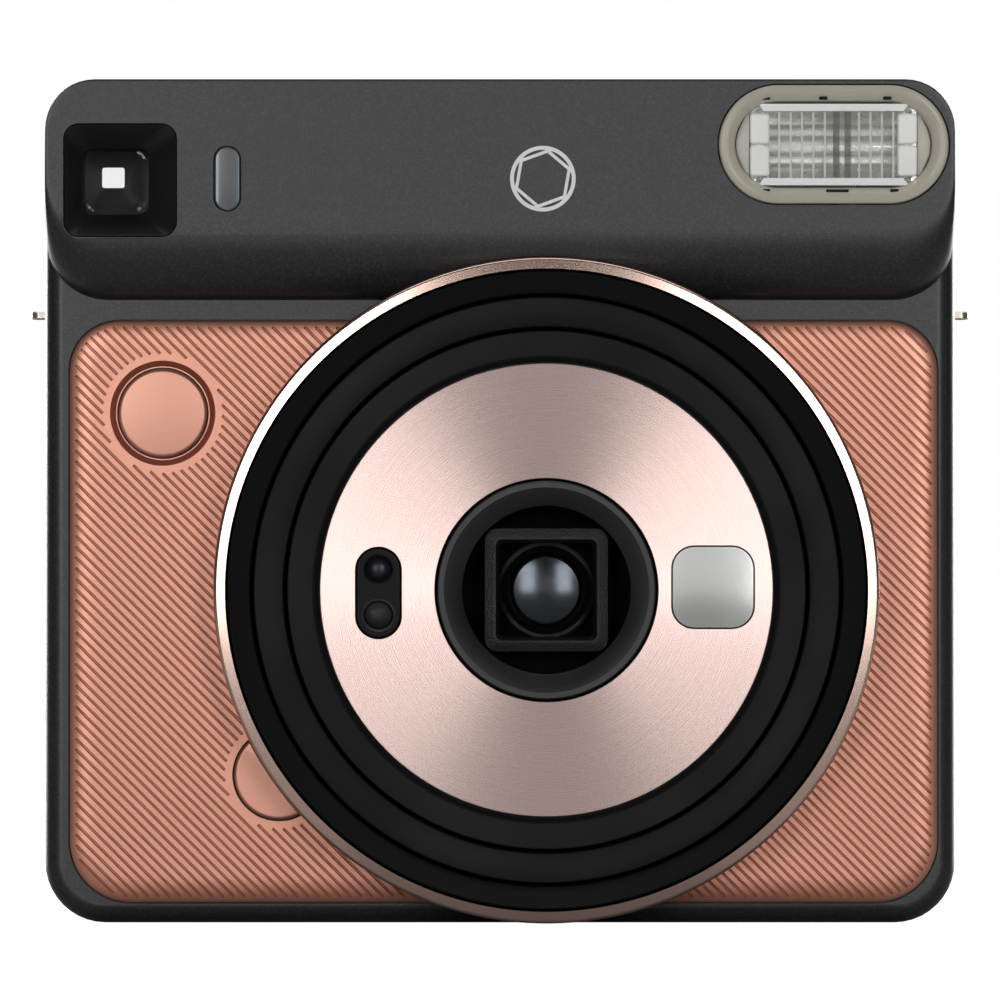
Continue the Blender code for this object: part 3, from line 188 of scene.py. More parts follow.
# ---- Front cover
# Injection-moulded ABS in one shot: the upper block, the band under it and the sides are one shell. It is
# sprayed with satin graphite paint that holds fine mica, so it sparkles a little and rolls off to black.
PANEL_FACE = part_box("front_panel_left")[0].y
PANEL_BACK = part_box("front_panel_left")[1].y
BROW_FRONT = cover_low.y
PARTING = cover_high.y
FACE = PANEL_FACE + 0.0012  # the cover's own face, a little behind the panels
SEAM = 0.0003
TOP_CORNER, LOW_CORNER = 0.0073, 0.0085
FRONT_EDGE = 0.0026
BROW_LOW = HEIGHT - 0.0311
BROW_CURVE = 0.0099
BROW_CORNER = 0.0087
ring_low, ring_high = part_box("lens_ring")
LENS = ((ring_low.x + ring_high.x) / 2, (ring_low.z + ring_high.z) / 2)
RING_R = (ring_high.x - ring_low.x) / 2
panel_low, panel_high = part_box("front_panel_left")[0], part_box("front_panel_right")[1]


def satin_paint(name, hex_colour, fleck, roughness, metallic, fleck_size, strength=0.35, bump=0.04):
    """Sprayed satin paint: mica flecks of a real size lighten it, and orange peel lifts it by microns."""
    made, tree, shader, place = new_material(name)
    flecks = add_node(
        tree,
        "ShaderNodeTexVoronoi",
        {"Scale": 1 / fleck_size, "Randomness": 1.0},
        {"Vector": place},
    )
    amount = add_node(
        tree,
        "ShaderNodeMapRange",
        {"From Min": 0.55, "From Max": 1.0, "To Min": 0.0, "To Max": strength},
        {"Value": add_node(
            tree,
            "ShaderNodeSeparateColor",
            links={"Color": flecks.outputs["Color"]},
        ).outputs[0]},
    )
    cloud = add_node(tree, "ShaderNodeTexNoise", {"Scale": 90.0, "Detail": 4.0}, {"Vector": place})
    base = add_node(
        tree,
        "ShaderNodeMix",
        {"B": srgb(fleck)},
        {"Factor": amount.outputs[0]},
        data_type="RGBA",
    )
    base.inputs["A"].default_value = srgb(hex_colour)
    shade = add_node(
        tree,
        "ShaderNodeMapRange",
        {"From Min": 0.3, "From Max": 0.7, "To Min": 0.97, "To Max": 1.03},
        {"Value": cloud.outputs["Fac"]},
    )
    tinted = add_node(
        tree,
        "ShaderNodeHueSaturation",
        links={"Color": base.outputs["Result"], "Value": shade.outputs[0]},
    )
    tree.links.new(tinted.outputs["Color"], shader.inputs["Base Color"])
    rough = add_node(
        tree,
        "ShaderNodeMapRange",
        {"To Min": roughness - 0.04, "To Max": roughness + 0.05},
        {"Value": flecks.outputs["Distance"]},
    )
    tree.links.new(rough.outputs[0], shader.inputs["Roughness"])
    peel = add_node(tree, "ShaderNodeTexNoise", {"Scale": 1 / 0.0004, "Detail": 3.0}, {"Vector": place})
    relief = add_node(
        tree,
        "ShaderNodeBump",
        {"Strength": bump, "Distance": 0.0001},
        {"Height": peel.outputs["Fac"]},
    )
    tree.links.new(relief.outputs["Normal"], shader.inputs["Normal"])
    set_shader(shader, Metallic=metallic)
    return made


# The mica is about 0.1 mm; it is drawn at 0.25 mm, as coarse as it needs to show.
graphite = satin_paint("graphite_satin_paint_on_abs", "#1b1c1e", "#4a4c50", 0.36, 0.1, 0.0002, 0.3)


def rounded(centre, half, low_r, top_r=None, steps=10):
    """Outline of a rectangle with round corners, anticlockwise."""
    top_r = low_r if top_r is None else top_r
    outline = []
    for side_u, side_v, radius, start in (
        (1, -1, low_r, -90),
        (1, 1, top_r, 0),
        (-1, 1, top_r, 90),
        (-1, -1, low_r, 180),
    ):
        for i in range(steps + 1):
            turn = math.radians(start + 90 * i / steps)
            outline.append(
                (
                    centre[0] + side_u * (half[0] - radius) + radius * math.cos(turn),
                    centre[1] + side_v * (half[1] - radius) + radius * math.sin(turn),
                )
            )
    return outline


def at_level(outline, level, along="Y"):
    if along == "X":
        return [(level, u, v) for u, v in outline]
    if along == "Y":
        return [(u, level, v) for u, v in outline]
    return [(u, v, level) for u, v in outline]


def skin(name, loops, look, ends=True, smooth_below=32):
    """Skins loops of equal count; with no ends the last loop meets the first."""
    count = len(loops[0])
    points = [p for loop in loops for p in loop]
    faces = []
    for k in range(len(loops) - (1 if ends else 0)):
        low, high = k * count, (k + 1) % len(loops) * count
        faces += [(low + i, low + (i + 1) % count, high + (i + 1) % count, high + i) for i in range(count)]
    if ends:
        faces.append(tuple(reversed(range(count))))
        faces.append(tuple(range(len(points) - count, len(points))))
    return mesh_piece(name, points, faces, look, smooth_below)


def plug(outline, start, end, along="Y"):
    """A straight-sided solid, used as a cutter."""
    return skin("cutter", [at_level(outline, start, along), at_level(outline, end, along)], graphite)


def ring_points(centre, radius, steps=128):
    return [
        (
            centre[0] + radius * math.cos(2 * math.pi * i / steps),
            centre[1] + radius * math.sin(2 * math.pi * i / steps),
        )
        for i in range(steps)
    ]


def bake(piece):
    """Applies the piece's modifiers."""
    bpy.context.view_layer.update()
    result = bpy.data.meshes.new_from_object(piece.evaluated_get(bpy.context.evaluated_depsgraph_get()))
    piece.modifiers.clear()
    piece.data = result


def carve(piece, others, operation="DIFFERENCE"):
    """Cuts or joins the others, applies it and removes them."""
    for other in others:
        step = piece.modifiers.new("carve", "BOOLEAN")
        step.operation = operation
        step.solver = "MANIFOLD"
        step.object = other
        bake(piece)
        bpy.data.objects.remove(other)
    return piece


def settle(piece, smooth_below=32):
    """Shades the piece smooth by angle and lets its large faces keep their own direction."""
    piece.data.shade_smooth()
    piece.data.set_sharp_from_angle(angle=math.radians(smooth_below))
    step = piece.modifiers.new("face_weights", "WEIGHTED_NORMAL")
    step.mode = "FACE_AREA"
    step.weight = 100
    step.keep_sharp = True
    bake(piece)
    return piece


def soften(piece, width, smooth_below=32, segments=2):
    """Breaks the sharp edges by a small radius, as a mould does, then settles the shading."""
    step = piece.modifiers.new("edge_break", "BEVEL")
    step.width = width
    step.segments = segments
    step.limit_method = "ANGLE"
    step.angle_limit = math.radians(40)
    bake(piece)
    return settle(piece, smooth_below)


def finish_piece(piece, body, slot, *replaced):
    """The piece rides on its body and stands for its frame nodes, which it hides; slot is not used."""
    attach(piece, body)
    if replaced:
        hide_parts(*replaced)
    return piece


def shell_loops(face, back, edge, steps=8):
    """The covers' outline from a face with a rounded edge to the parting line."""
    towards = 1 if back > face else -1
    loops = []
    for i in range(steps + 1):
        turn = math.pi / 2 * i / steps
        inset = edge * (1 - math.sin(turn))
        outline = rounded(
            (0, HEIGHT / 2),
            (HALF_WIDTH - inset, HEIGHT / 2 - inset),
            LOW_CORNER - inset,
            TOP_CORNER - inset,
        )
        loops.append(at_level(outline, face + towards * edge * (1 - math.cos(turn))))
    loops.append(at_level(rounded((0, HEIGHT / 2), (HALF_WIDTH, HEIGHT / 2), LOW_CORNER, TOP_CORNER), back))
    return loops


def brow_loops(inset=0.0, front=BROW_FRONT, steps=18):
    """The upper block from its crease round the curve under it to its flat face."""
    half_w = HALF_WIDTH - 0.00025 - inset
    low, top = BROW_LOW + inset, HEIGHT - 0.00025 - inset
    depth = FACE - front
    edge = 0.0006
    loops = []
    for i in range(-1, steps + 1):
        turn = math.pi / 2 * max(i, 0) / steps
        foot = low + BROW_CURVE * (1 - math.cos(turn))
        level = FACE + 0.006 if i < 0 else FACE + 0.0004 - (depth + 0.0004) * math.sin(turn)
        rim = edge * (1 - math.sin(math.acos(min(1, max(0, (i - steps + 4) / 4)))))
        outline = rounded(
            (0, (foot + top - rim) / 2),
            (half_w - rim, (top - rim - foot) / 2),
            BROW_CORNER - inset - rim * 0.5,
            TOP_CORNER - 0.00025 - inset - rim * 0.5,
        )
        loops.append(at_level(outline, level))
    return loops


def panel_outline(by, steps=16):
    return rounded(
        ((panel_low.x + panel_high.x) / 2, (panel_low.z + panel_high.z) / 2),
        ((panel_high.x - panel_low.x) / 2 + by, (panel_high.z - panel_low.z) / 2 + by),
        0.0087 + by,
        0.007 + by,
        steps,
    )


def box_of(node):
    """(x, z) middle and (width, height) of a node seen from the front."""
    low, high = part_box(node)
    return ((low.x + high.x) / 2, (low.z + high.z) / 2), (high.x - low.x, high.z - low.z)


finder_centre, finder_size = box_of("viewfinder_frame")
lamp_centre, lamp_size = box_of("timer_lamp")
flash_centre, flash_size = box_of("flash_window")
shutter_centre, shutter_size = box_of("shutter_button")
LENS_BUTTON_R = 0.0063
LENS_BUTTON_TURN = math.radians(214.7)
lens_button_centre = (
    LENS[0] + (RING_R - 0.0009) * math.cos(LENS_BUTTON_TURN),
    LENS[1] + (RING_R - 0.0009) * math.sin(LENS_BUTTON_TURN),
)
BARREL_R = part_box("fixed_barrel")[1].x - LENS[0]
AHEAD = ring_low.y - 0.001
WALL = 0.002


def racetrack(centre, size, by=0.0, steps=24):
    """A slot with round ends, lying or standing."""
    half = (size[0] / 2 + by, size[1] / 2 + by)
    return rounded(centre, half, min(half) - 1e-6, steps=steps)


cover = skin("front_cover_shell", list(reversed(shell_loops(FACE, PARTING, FRONT_EDGE))), graphite)
carve(cover, [skin("cutter", brow_loops(), graphite)], "UNION")
room = rounded(
    (0, HEIGHT / 2),
    (HALF_WIDTH - WALL, HEIGHT / 2 - WALL),
    LOW_CORNER - WALL,
    TOP_CORNER - WALL,
)
carve(
    cover,
    [
        plug(room, PANEL_BACK + SEAM + WALL, PARTING + 0.002),
        skin("cutter", brow_loops(0.0025, BROW_FRONT + WALL, 6), graphite),
        plug(panel_outline(SEAM * 0.6), AHEAD, PANEL_BACK + SEAM),
        plug(ring_points(LENS, BARREL_R + SEAM), AHEAD, PARTING),
        plug(ring_points(LENS, RING_R + SEAM * 0.6, 256), AHEAD, PANEL_FACE),
        plug(rounded(finder_centre, (finder_size[0] / 2 + SEAM * 0.4,) * 2, 0.0022), AHEAD, PARTING),
        plug(racetrack(lamp_centre, lamp_size, SEAM * 0.4), AHEAD, PARTING),
        plug(racetrack(flash_centre, flash_size, SEAM * 0.7), AHEAD, BROW_FRONT + 0.006),
        plug(ring_points(shutter_centre, 0.0023, 32), AHEAD, PARTING),
    ],
)
soften(cover, 0.00016)
finish_piece(cover, "camera_body", "graphite_cover", "front_cover")

# ---- Copper panel
# Two pressed sheets split by the lens, of pearl copper paint on ABS. Its edges roll back into the cover, and
# the slanting slots are moulded in: 0.42 mm wide with round ends, 1.06 mm apart and 0.3 mm deep.
PANEL_ROLL = 0.0036
SLOT_WIDTH = 0.00042
SLOT_DEPTH = 0.0003
SLOT_FLOOR = 0.15  # the floor's share of the width
SLOT_PITCH = 0.00106
SLOT_MARGIN = 0.0007
BUTTON_DISH_R = shutter_size[0] / 2 + 0.0014


def pearl_paint(name, hex_colour, edge_colour, roughness):
    """Pearl copper paint: a metallic base that turns browner where it is seen at a low angle."""
    made, tree, shader, place = new_material(name)
    facing = add_node(tree, "ShaderNodeLayerWeight", {"Blend": 0.35})
    fleck = add_node(
        tree,
        "ShaderNodeTexNoise",
        {"Scale": 1 / 0.00012, "Detail": 2.0},
        {"Vector": place},
    )
    colour = add_node(
        tree,
        "ShaderNodeMix",
        {"Factor": 0.0},
        {"Factor": facing.outputs["Facing"]},
        data_type="RGBA",
    )
    colour.inputs["A"].default_value = srgb(hex_colour)
    colour.inputs["B"].default_value = srgb(edge_colour)
    level = add_node(
        tree,
        "ShaderNodeMapRange",
        {"From Min": 0.3, "From Max": 0.7, "To Min": 0.94, "To Max": 1.06},
        {"Value": fleck.outputs["Fac"]},
    )
    shaded = add_node(
        tree,
        "ShaderNodeHueSaturation",
        links={"Color": colour.outputs["Result"], "Value": level.outputs[0]},
    )
    tree.links.new(shaded.outputs["Color"], shader.inputs["Base Color"])
    rough = add_node(
        tree,
        "ShaderNodeMapRange",
        {"From Min": 0.3, "From Max": 0.7, "To Min": roughness - 0.04, "To Max": roughness + 0.04},
        {"Value": fleck.outputs["Fac"]},
    )
    tree.links.new(rough.outputs[0], shader.inputs["Roughness"])
    set_shader(shader, Metallic=0.75, Coat_Weight=0.25, Coat_Roughness=0.25)
    return made


copper = pearl_paint("pearl_copper_paint_on_abs", "#c98e79", "#8a4a38", 0.38)


def panel_drop(u, v):
    """How far the rolled edge lies behind the face at a point, from the distance to the panel's outline."""
    half_u = (panel_high.x - panel_low.x) / 2
    half_v = (panel_high.z - panel_low.z) / 2
    corner = 0.007 if v > (panel_low.z + panel_high.z) / 2 else 0.0087
    du = abs(u - (panel_low.x + panel_high.x) / 2) - (half_u - corner)
    dv = abs(v - (panel_low.z + panel_high.z) / 2) - (half_v - corner)
    to_edge = corner - (math.hypot(du, dv) if du > 0 and dv > 0 else max(du, dv))
    share = max(0.0, 1 - to_edge / PANEL_ROLL)
    return 0.0009 * (1 - math.sqrt(max(0.0, 1 - share**2))) if share < 1 else 0.0009


panel_rows = [0.00005, 0.00025, 0.0006, 0.001, 0.0015, 0.002, 0.0025, 0.003, PANEL_ROLL]
panel_skin = [at_level(panel_outline(0), PANEL_BACK)]
for inset in [0.0] + panel_rows:
    outline = rounded(
        ((panel_low.x + panel_high.x) / 2, (panel_low.z + panel_high.z) / 2),
        ((panel_high.x - panel_low.x) / 2 - inset, (panel_high.z - panel_low.z) / 2 - inset),
        0.0087 - inset,
        0.007 - inset,
        16,
    )
    share = 1 - inset / PANEL_ROLL
    panel_skin.append(at_level(outline, PANEL_FACE + 0.0009 * (1 - math.sqrt(max(0.0, 1 - share**2)))))
panel = skin("copper_panel", panel_skin, copper, smooth_below=40)


def allowed_spans(start, direction, length, step=0.0001):
    """The parts of a slot's line that keep clear of the panel's edge, the buttons and the lens."""
    spans, open_at = [], None
    for i in range(int(length / step) + 1):
        u, v = start[0] + direction[0] * i * step, start[1] + direction[1] * i * step
        half_u = (panel_high.x - panel_low.x) / 2 - SLOT_MARGIN
        half_v = (panel_high.z - panel_low.z) / 2 - SLOT_MARGIN
        corner = (0.007 if v > (panel_low.z + panel_high.z) / 2 else 0.0087) - SLOT_MARGIN
        du = abs(u - (panel_low.x + panel_high.x) / 2) - (half_u - corner)
        dv = abs(v - (panel_low.z + panel_high.z) / 2) - (half_v - corner)
        inside = (math.hypot(du, dv) if du > 0 and dv > 0 else max(du, dv)) < corner - SLOT_WIDTH / 2
        inside = inside and math.hypot(u - LENS[0], v - LENS[1]) > RING_R - 0.0012
        inside = inside and math.hypot(
            u - shutter_centre[0],
            v - shutter_centre[1],
        ) > BUTTON_DISH_R + 0.0008
        inside = (
            inside
            and math.hypot(u - lens_button_centre[0], v - lens_button_centre[1]) > LENS_BUTTON_R + 0.0013
        )
        if inside and open_at is None:
            open_at = i
        if not inside and open_at is not None:
            if (i - open_at) * step > SLOT_WIDTH * 1.5:
                spans.append((open_at * step, (i - 1) * step))
            open_at = None
    return spans


slot_points, slot_faces = [], []


def add_slot(start, end):
    """One round-ended slot cutter whose floor follows the rolled face."""
    along = ((end[0] - start[0]), (end[1] - start[1]))
    length = math.hypot(*along)
    along = (along[0] / length, along[1] / length)
    across = (-along[1], along[0])
    cuts = max(2, int(length / 0.0012))
    stations = []
    for i in range(5):
        turn = math.pi / 2 * i / 4
        if i:
            stations.append((-SLOT_WIDTH / 2 * math.cos(turn), SLOT_WIDTH / 2 * math.sin(turn)))
    stations += [(length * i / cuts, SLOT_WIDTH / 2) for i in range(1, cuts)]
    for i in range(5):
        turn = math.pi / 2 * i / 4
        if i < 4:
            stations.append((length + SLOT_WIDTH / 2 * math.sin(turn), SLOT_WIDTH / 2 * math.cos(turn)))
    first = len(slot_points)
    for where, half in stations:
        # round the section from its left rim down to the narrow floor and up to the right rim
        for side, share, deep in ((-1, 1, 0), (-1, SLOT_FLOOR, 1), (1, SLOT_FLOOR, 1), (1, 1, 0)):
            at = where if 0 <= where <= length else (where - (length if where > 0 else 0)) * share
            at += length if where > length else 0
            u = start[0] + along[0] * at + across[0] * half * side * share
            v = start[1] + along[1] * at + across[1] * half * side * share
            level = PANEL_FACE + panel_drop(u, v) + (SLOT_DEPTH if deep else 0)
            slot_points.append((u, level, v))
            if not deep:
                slot_points.append((u, PANEL_FACE - 0.001, v))
    # per station: 0 left rim, 1 above it, 2 and 3 the floor, 4 right rim, 5 above it
    section = (1, 0, 2, 3, 4, 5)
    count = len(stations)
    for i in range(count - 1):
        near, far = first + 6 * i, first + 6 * (i + 1)
        for k in range(6):
            here, there = section[k], section[(k + 1) % 6]
            slot_faces.append((near + here, near + there, far + there, far + here))
    last = first + 6 * (count - 1)
    slot_faces.append(tuple(first + k for k in reversed(section)))
    slot_faces.append(tuple(last + k for k in section))


DOWN_RIGHT = (math.sqrt(0.5), -math.sqrt(0.5))
reach = panel_high.x - panel_low.x + panel_high.z - panel_low.z
for i in range(int(reach / SLOT_PITCH / math.sqrt(2)) + 2):
    # each line starts on a diagonal that runs up to the right through the panel's middle
    offset = (i * SLOT_PITCH * math.sqrt(2)) - reach / 2
    middle_u = (panel_low.x + panel_high.x) / 2 + offset / 2
    middle_v = (panel_low.z + panel_high.z) / 2 + offset / 2
    start = (middle_u - DOWN_RIGHT[0] * 0.12, middle_v - DOWN_RIGHT[1] * 0.12)
    for low, high in allowed_spans(start, DOWN_RIGHT, 0.24):
        add_slot(
            (start[0] + DOWN_RIGHT[0] * (low + 0.0001), start[1] + DOWN_RIGHT[1] * (low + 0.0001)),
            (start[0] + DOWN_RIGHT[0] * (high - 0.0001), start[1] + DOWN_RIGHT[1] * (high - 0.0001)),
        )
dish = [
    (0.0, PANEL_FACE + 0.0011),
    (shutter_size[0] / 2 + 0.0004, PANEL_FACE + 0.0011),
    (BUTTON_DISH_R - 0.0002, PANEL_FACE + 0.0001),
    (BUTTON_DISH_R, AHEAD),
    (0.0, AHEAD),
]


def turned(name, profile, look, centre=LENS, steps=256, smooth_below=32):
    """Turns a closed (radius, level) profile about a line along Y; a radius of 0 closes it on the axis."""
    rings = []
    for radius, level in profile:
        radius = max(radius, 1e-7)
        rings.append([(u, level, v) for u, v in ring_points(centre, radius, steps)])
    closed_on_axis = profile[0][0] == 0 and profile[-1][0] == 0
    return skin(name, rings, look, ends=closed_on_axis, smooth_below=smooth_below)


lens_button_reach = LENS_BUTTON_R + SEAM * 0.8
carve(
    panel,
    [
        mesh_piece("cutter", slot_points, slot_faces, copper),
        plug(ring_points(LENS, RING_R - 0.0006, 256), AHEAD, PANEL_BACK + 0.001),
        turned("cutter", dish, copper, shutter_centre, 96),
        plug(ring_points(shutter_centre, shutter_size[0] / 2 + SEAM * 0.8, 96), AHEAD, PANEL_BACK + 0.001),
        plug(ring_points(lens_button_centre, lens_button_reach, 96), AHEAD, PANEL_BACK + 0.001),
    ],
)
settle(panel)
finish_piece(panel, "camera_body", "copper_paint", "front_panel_left", "front_panel_right")

# ---- Lens ring
# Turned aluminium, rose anodised and polished: a rim that leans out from the panel and rounds over in front.
def brushed_metal(name, hex_colour, roughness, anisotropy, grain=0.00009, centre=LENS, wear=0.05):
    """Anodised metal turned on a lathe: fine rings round its axis that stretch highlights across them."""
    made, tree, shader, place = new_material(name)
    parts = add_node(tree, "ShaderNodeSeparateXYZ", links={"Vector": place})
    across = add_node(tree, "ShaderNodeMath", {1: centre[0]}, {0: parts.outputs["X"]}, operation="SUBTRACT")
    up = add_node(tree, "ShaderNodeMath", {1: centre[1]}, {0: parts.outputs["Z"]}, operation="SUBTRACT")
    flat = add_node(tree, "ShaderNodeCombineXYZ", links={"X": across.outputs[0], "Y": up.outputs[0]})
    radius = add_node(tree, "ShaderNodeVectorMath", links={0: flat.outputs[0]}, operation="LENGTH")
    ring_noise = add_node(
        tree,
        "ShaderNodeTexNoise",
        {"Scale": 1 / grain, "Detail": 3.0, "Roughness": 0.7},
        {"W": radius.outputs["Value"]},
        noise_dimensions="1D",
    )
    tone = add_node(
        tree,
        "ShaderNodeMapRange",
        {"From Min": 0.25, "From Max": 0.75, "To Min": 1 - wear, "To Max": 1 + wear},
        {"Value": ring_noise.outputs["Fac"]},
    )
    colour = add_node(
        tree,
        "ShaderNodeHueSaturation",
        {"Color": srgb(hex_colour)},
        {"Value": tone.outputs[0]},
    )
    tree.links.new(colour.outputs["Color"], shader.inputs["Base Color"])
    rough = add_node(
        tree,
        "ShaderNodeMapRange",
        {"From Min": 0.25, "From Max": 0.75, "To Min": roughness - 0.03, "To Max": roughness + 0.03},
        {"Value": ring_noise.outputs["Fac"]},
    )
    tree.links.new(rough.outputs[0], shader.inputs["Roughness"])
    if anisotropy:
        # the grooves run round the axis, so a highlight spreads outwards across them
        outwards = add_node(
            tree,
            "ShaderNodeCombineXYZ",
            links={"X": across.outputs[0], "Z": up.outputs[0]},
        )
        tree.links.new(outwards.outputs[0], shader.inputs["Tangent"])
    set_shader(shader, Metallic=1.0, Anisotropic=anisotropy)
    return made


rose_ring = brushed_metal("rose_anodised_aluminium_satin", "#cdb0a4", 0.2, 0.0)
RING_BORE = BARREL_R + SEAM * 0.8
ring_face = ring_low.y
ring_profile = [(RING_BORE, ring_high.y), (RING_BORE, ring_face + 0.0002), (RING_BORE + 0.0001, ring_face)]
RING_LEAN = math.tan(math.radians(9))
ring_profile.append((RING_R - 0.0005, ring_face + RING_LEAN * (RING_R - 0.0005 - RING_BORE)))
for i in range(1, 9):
    turn = math.pi / 2 * i / 8
    ring_profile.append(
        (RING_R - 0.0005 + 0.0005 * math.sin(turn), ring_profile[3][1] + 0.0009 * (1 - math.cos(turn)))
    )
ring_profile.append((RING_R, ring_high.y))
ring = turned("lens_ring_rose", ring_profile, rose_ring, smooth_below=50)
finish_piece(ring, "camera_body", "rose_aluminium", "lens_ring")

# ---- Lens barrels
# Three moulded black barrels with a fine spark-eroded grain; two slide out. The outer two have shallow cone
# faces, and a shadow gap parts each from the next.
def moulded_plastic(name, hex_colour, roughness, grain=0.0002, relief=0.12, depth=0.00002, tint=0.06):
    """ABS from a textured mould: a grain of a real size, in its relief, its tone and its gloss."""
    made, tree, shader, place = new_material(name)
    bumps = add_node(tree, "ShaderNodeTexNoise", {"Scale": 1 / grain, "Detail": 2.0}, {"Vector": place})
    cloud = add_node(tree, "ShaderNodeTexNoise", {"Scale": 60.0, "Detail": 3.0}, {"Vector": place})
    both = add_node(
        tree,
        "ShaderNodeMath",
        links={0: bumps.outputs["Fac"], 1: cloud.outputs["Fac"]},
        operation="ADD",
    )
    tone = add_node(
        tree,
        "ShaderNodeMapRange",
        {"From Min": 0.6, "From Max": 1.4, "To Min": 1 - tint, "To Max": 1 + tint},
        {"Value": both.outputs[0]},
    )
    colour = add_node(
        tree,
        "ShaderNodeHueSaturation",
        {"Color": srgb(hex_colour)},
        {"Value": tone.outputs[0]},
    )
    tree.links.new(colour.outputs["Color"], shader.inputs["Base Color"])
    rough = add_node(
        tree,
        "ShaderNodeMapRange",
        {"From Min": 0.35, "From Max": 0.65, "To Min": roughness - 0.05, "To Max": roughness + 0.05},
        {"Value": cloud.outputs["Fac"]},
    )
    tree.links.new(rough.outputs[0], shader.inputs["Roughness"])
    lift = add_node(
        tree,
        "ShaderNodeBump",
        {"Strength": relief, "Distance": depth},
        {"Height": bumps.outputs["Fac"]},
    )
    tree.links.new(lift.outputs["Normal"], shader.inputs["Normal"])
    return made


barrel_black = moulded_plastic("black_abs_spark_grain", "#08090a", 0.62)
set_shader(barrel_black.node_tree.nodes["Principled BSDF"], Specular_IOR_Level=0.22)


def barrel(name, node, cone):
    """A barrel whose face is a shallow cone: cone is how much further back its inner edge lies."""
    low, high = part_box(node)
    outer = high.x - LENS[0]
    inner = outer - cone[1]
    edge = 0.00025
    profile = [
        (inner, high.y),
        (inner, low.y + cone[0] + edge),
        (inner + edge * 0.3, low.y + cone[0] + edge * 0.3),
        (inner + edge, low.y + cone[0]),
        (outer - edge, low.y),
        (outer - edge * 0.3, low.y + edge * 0.3),
        (outer, low.y + edge),
        (outer, high.y),
    ]
    return turned(name, profile, barrel_black, smooth_below=50)


fixed = barrel("fixed_barrel_black", "fixed_barrel", (0.0022, 0.0031))
finish_piece(fixed, "camera_body", "black_plastic", "fixed_barrel")
outer = barrel("outer_barrel_black", "outer_barrel", (0.0006, 0.0042))
finish_piece(outer, "outer_barrel", "black_plastic", "outer_barrel")

stage_low, stage_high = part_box("inner_barrel")
STAGE_R = stage_high.x - LENS[0]
plate_low, plate_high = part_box("front_plate")
PLATE_R = plate_high.x - LENS[0]
bezel_low, bezel_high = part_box("lens_bezel")
BEZEL_R = bezel_high.x - LENS[0]
sensor_centre, sensor_size = box_of("sensor_cover")
mirror_centre, mirror_size = box_of("selfie_mirror")
BULKHEAD = plate_high.y + SEAM
stage_profile = [
    (BEZEL_R + 0.0004, BULKHEAD + 0.002),
    (BEZEL_R + 0.0004, BULKHEAD),
    (PLATE_R + 0.0003, BULKHEAD),
    (PLATE_R + 0.0003, stage_low.y + 0.0009),
    (PLATE_R + 0.0009, stage_low.y + 0.0003),
    (PLATE_R + 0.0012, stage_low.y + 0.0002),
    (STAGE_R - 0.0003, stage_low.y),
    (STAGE_R - 0.0001, stage_low.y + 0.0001),
    (STAGE_R, stage_low.y + 0.0003),
    (STAGE_R, stage_high.y),
    (STAGE_R - 0.0025, stage_high.y),
    (STAGE_R - 0.0025, BULKHEAD + 0.002),
]
stage = turned("inner_barrel_black", stage_profile, barrel_black, smooth_below=50)
carve(stage, [plug(racetrack(sensor_centre, sensor_size, SEAM), BULKHEAD - 0.001, BULKHEAD + 0.003)])
settle(stage)
finish_piece(stage, "inner_barrel", "black_plastic", "inner_barrel")

# ---- Brushed front plate
# An aluminium disc, spun while it is brushed, so light draws out into a bow tie; then anodised pale rose and
# glued into the inner barrel.
plate_metal = brushed_metal(
    "rose_anodised_aluminium_spun_brushed",
    "#cfb6b0",
    0.27,
    0.85,
    0.0001,
    wear=0.16,
)
face = plate_low.y
plate_profile = [
    (BEZEL_R + 0.0003, plate_high.y),
    (BEZEL_R + 0.0003, face + 0.0001),
    (BEZEL_R + 0.0004, face),
    (PLATE_R - 0.0001, face),
    (PLATE_R, face + 0.0001),
    (PLATE_R, plate_high.y),
]
plate = turned("front_plate_brushed", plate_profile, plate_metal)
mirror_r = 0.003
carve(
    plate,
    [
        plug(racetrack(sensor_centre, sensor_size, SEAM * 0.8), face - 0.001, plate_high.y + 0.001),
        plug(
            rounded(mirror_centre, (mirror_size[0] / 2 + SEAM * 0.8,) * 2, mirror_r + SEAM * 0.8),
            face - 0.001,
            plate_high.y + 0.001,
        ),
    ],
)
settle(plate)
finish_piece(plate, "inner_barrel", "rose_aluminium", "front_plate")

# ---- Selfie mirror
# Acrylic with a vacuum-coated back, slightly domed, in a square hole of the plate.
mirror_silver, tree, shader, place = new_material("vacuum_silvered_acrylic")
haze = add_node(tree, "ShaderNodeTexNoise", {"Scale": 180.0, "Detail": 3.0}, {"Vector": place})
rough = add_node(tree, "ShaderNodeMapRange", {"To Min": 0.1, "To Max": 0.2}, {"Value": haze.outputs["Fac"]})
tree.links.new(rough.outputs[0], shader.inputs["Roughness"])
set_shader(shader, Base_Color=srgb("#c9cac7"), Metallic=1.0, Coat_Weight=0.4)
mirror_low, mirror_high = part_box("selfie_mirror")
DOME = 0.00028
mirror_half = mirror_size[0] / 2


def filled(outline, step):
    """The outline with points added along its straight sides."""
    dense = []
    for i, (u, v) in enumerate(outline):
        next_u, next_v = outline[(i + 1) % len(outline)]
        parts = max(1, round(math.hypot(next_u - u, next_v - v) / step))
        dense += [(u + (next_u - u) * k / parts, v + (next_v - v) * k / parts) for k in range(parts)]
    return dense


def domed(centre, half, radius, shares, level, rise, towards=1):
    """Loops of a square with round corners that lie on a shallow sphere; level is the crown's."""
    loops = []
    outline = filled(rounded(centre, (half, half), radius), 0.0004)
    for share in shares:
        loop = []
        for u, v in outline:
            du, dv = (u - centre[0]) * share, (v - centre[1]) * share
            loop.append(
                (centre[0] + du, level + towards * rise * (du**2 + dv**2) / half**2 / 2, centre[1] + dv),
            )
        loops.append(loop)
    return loops


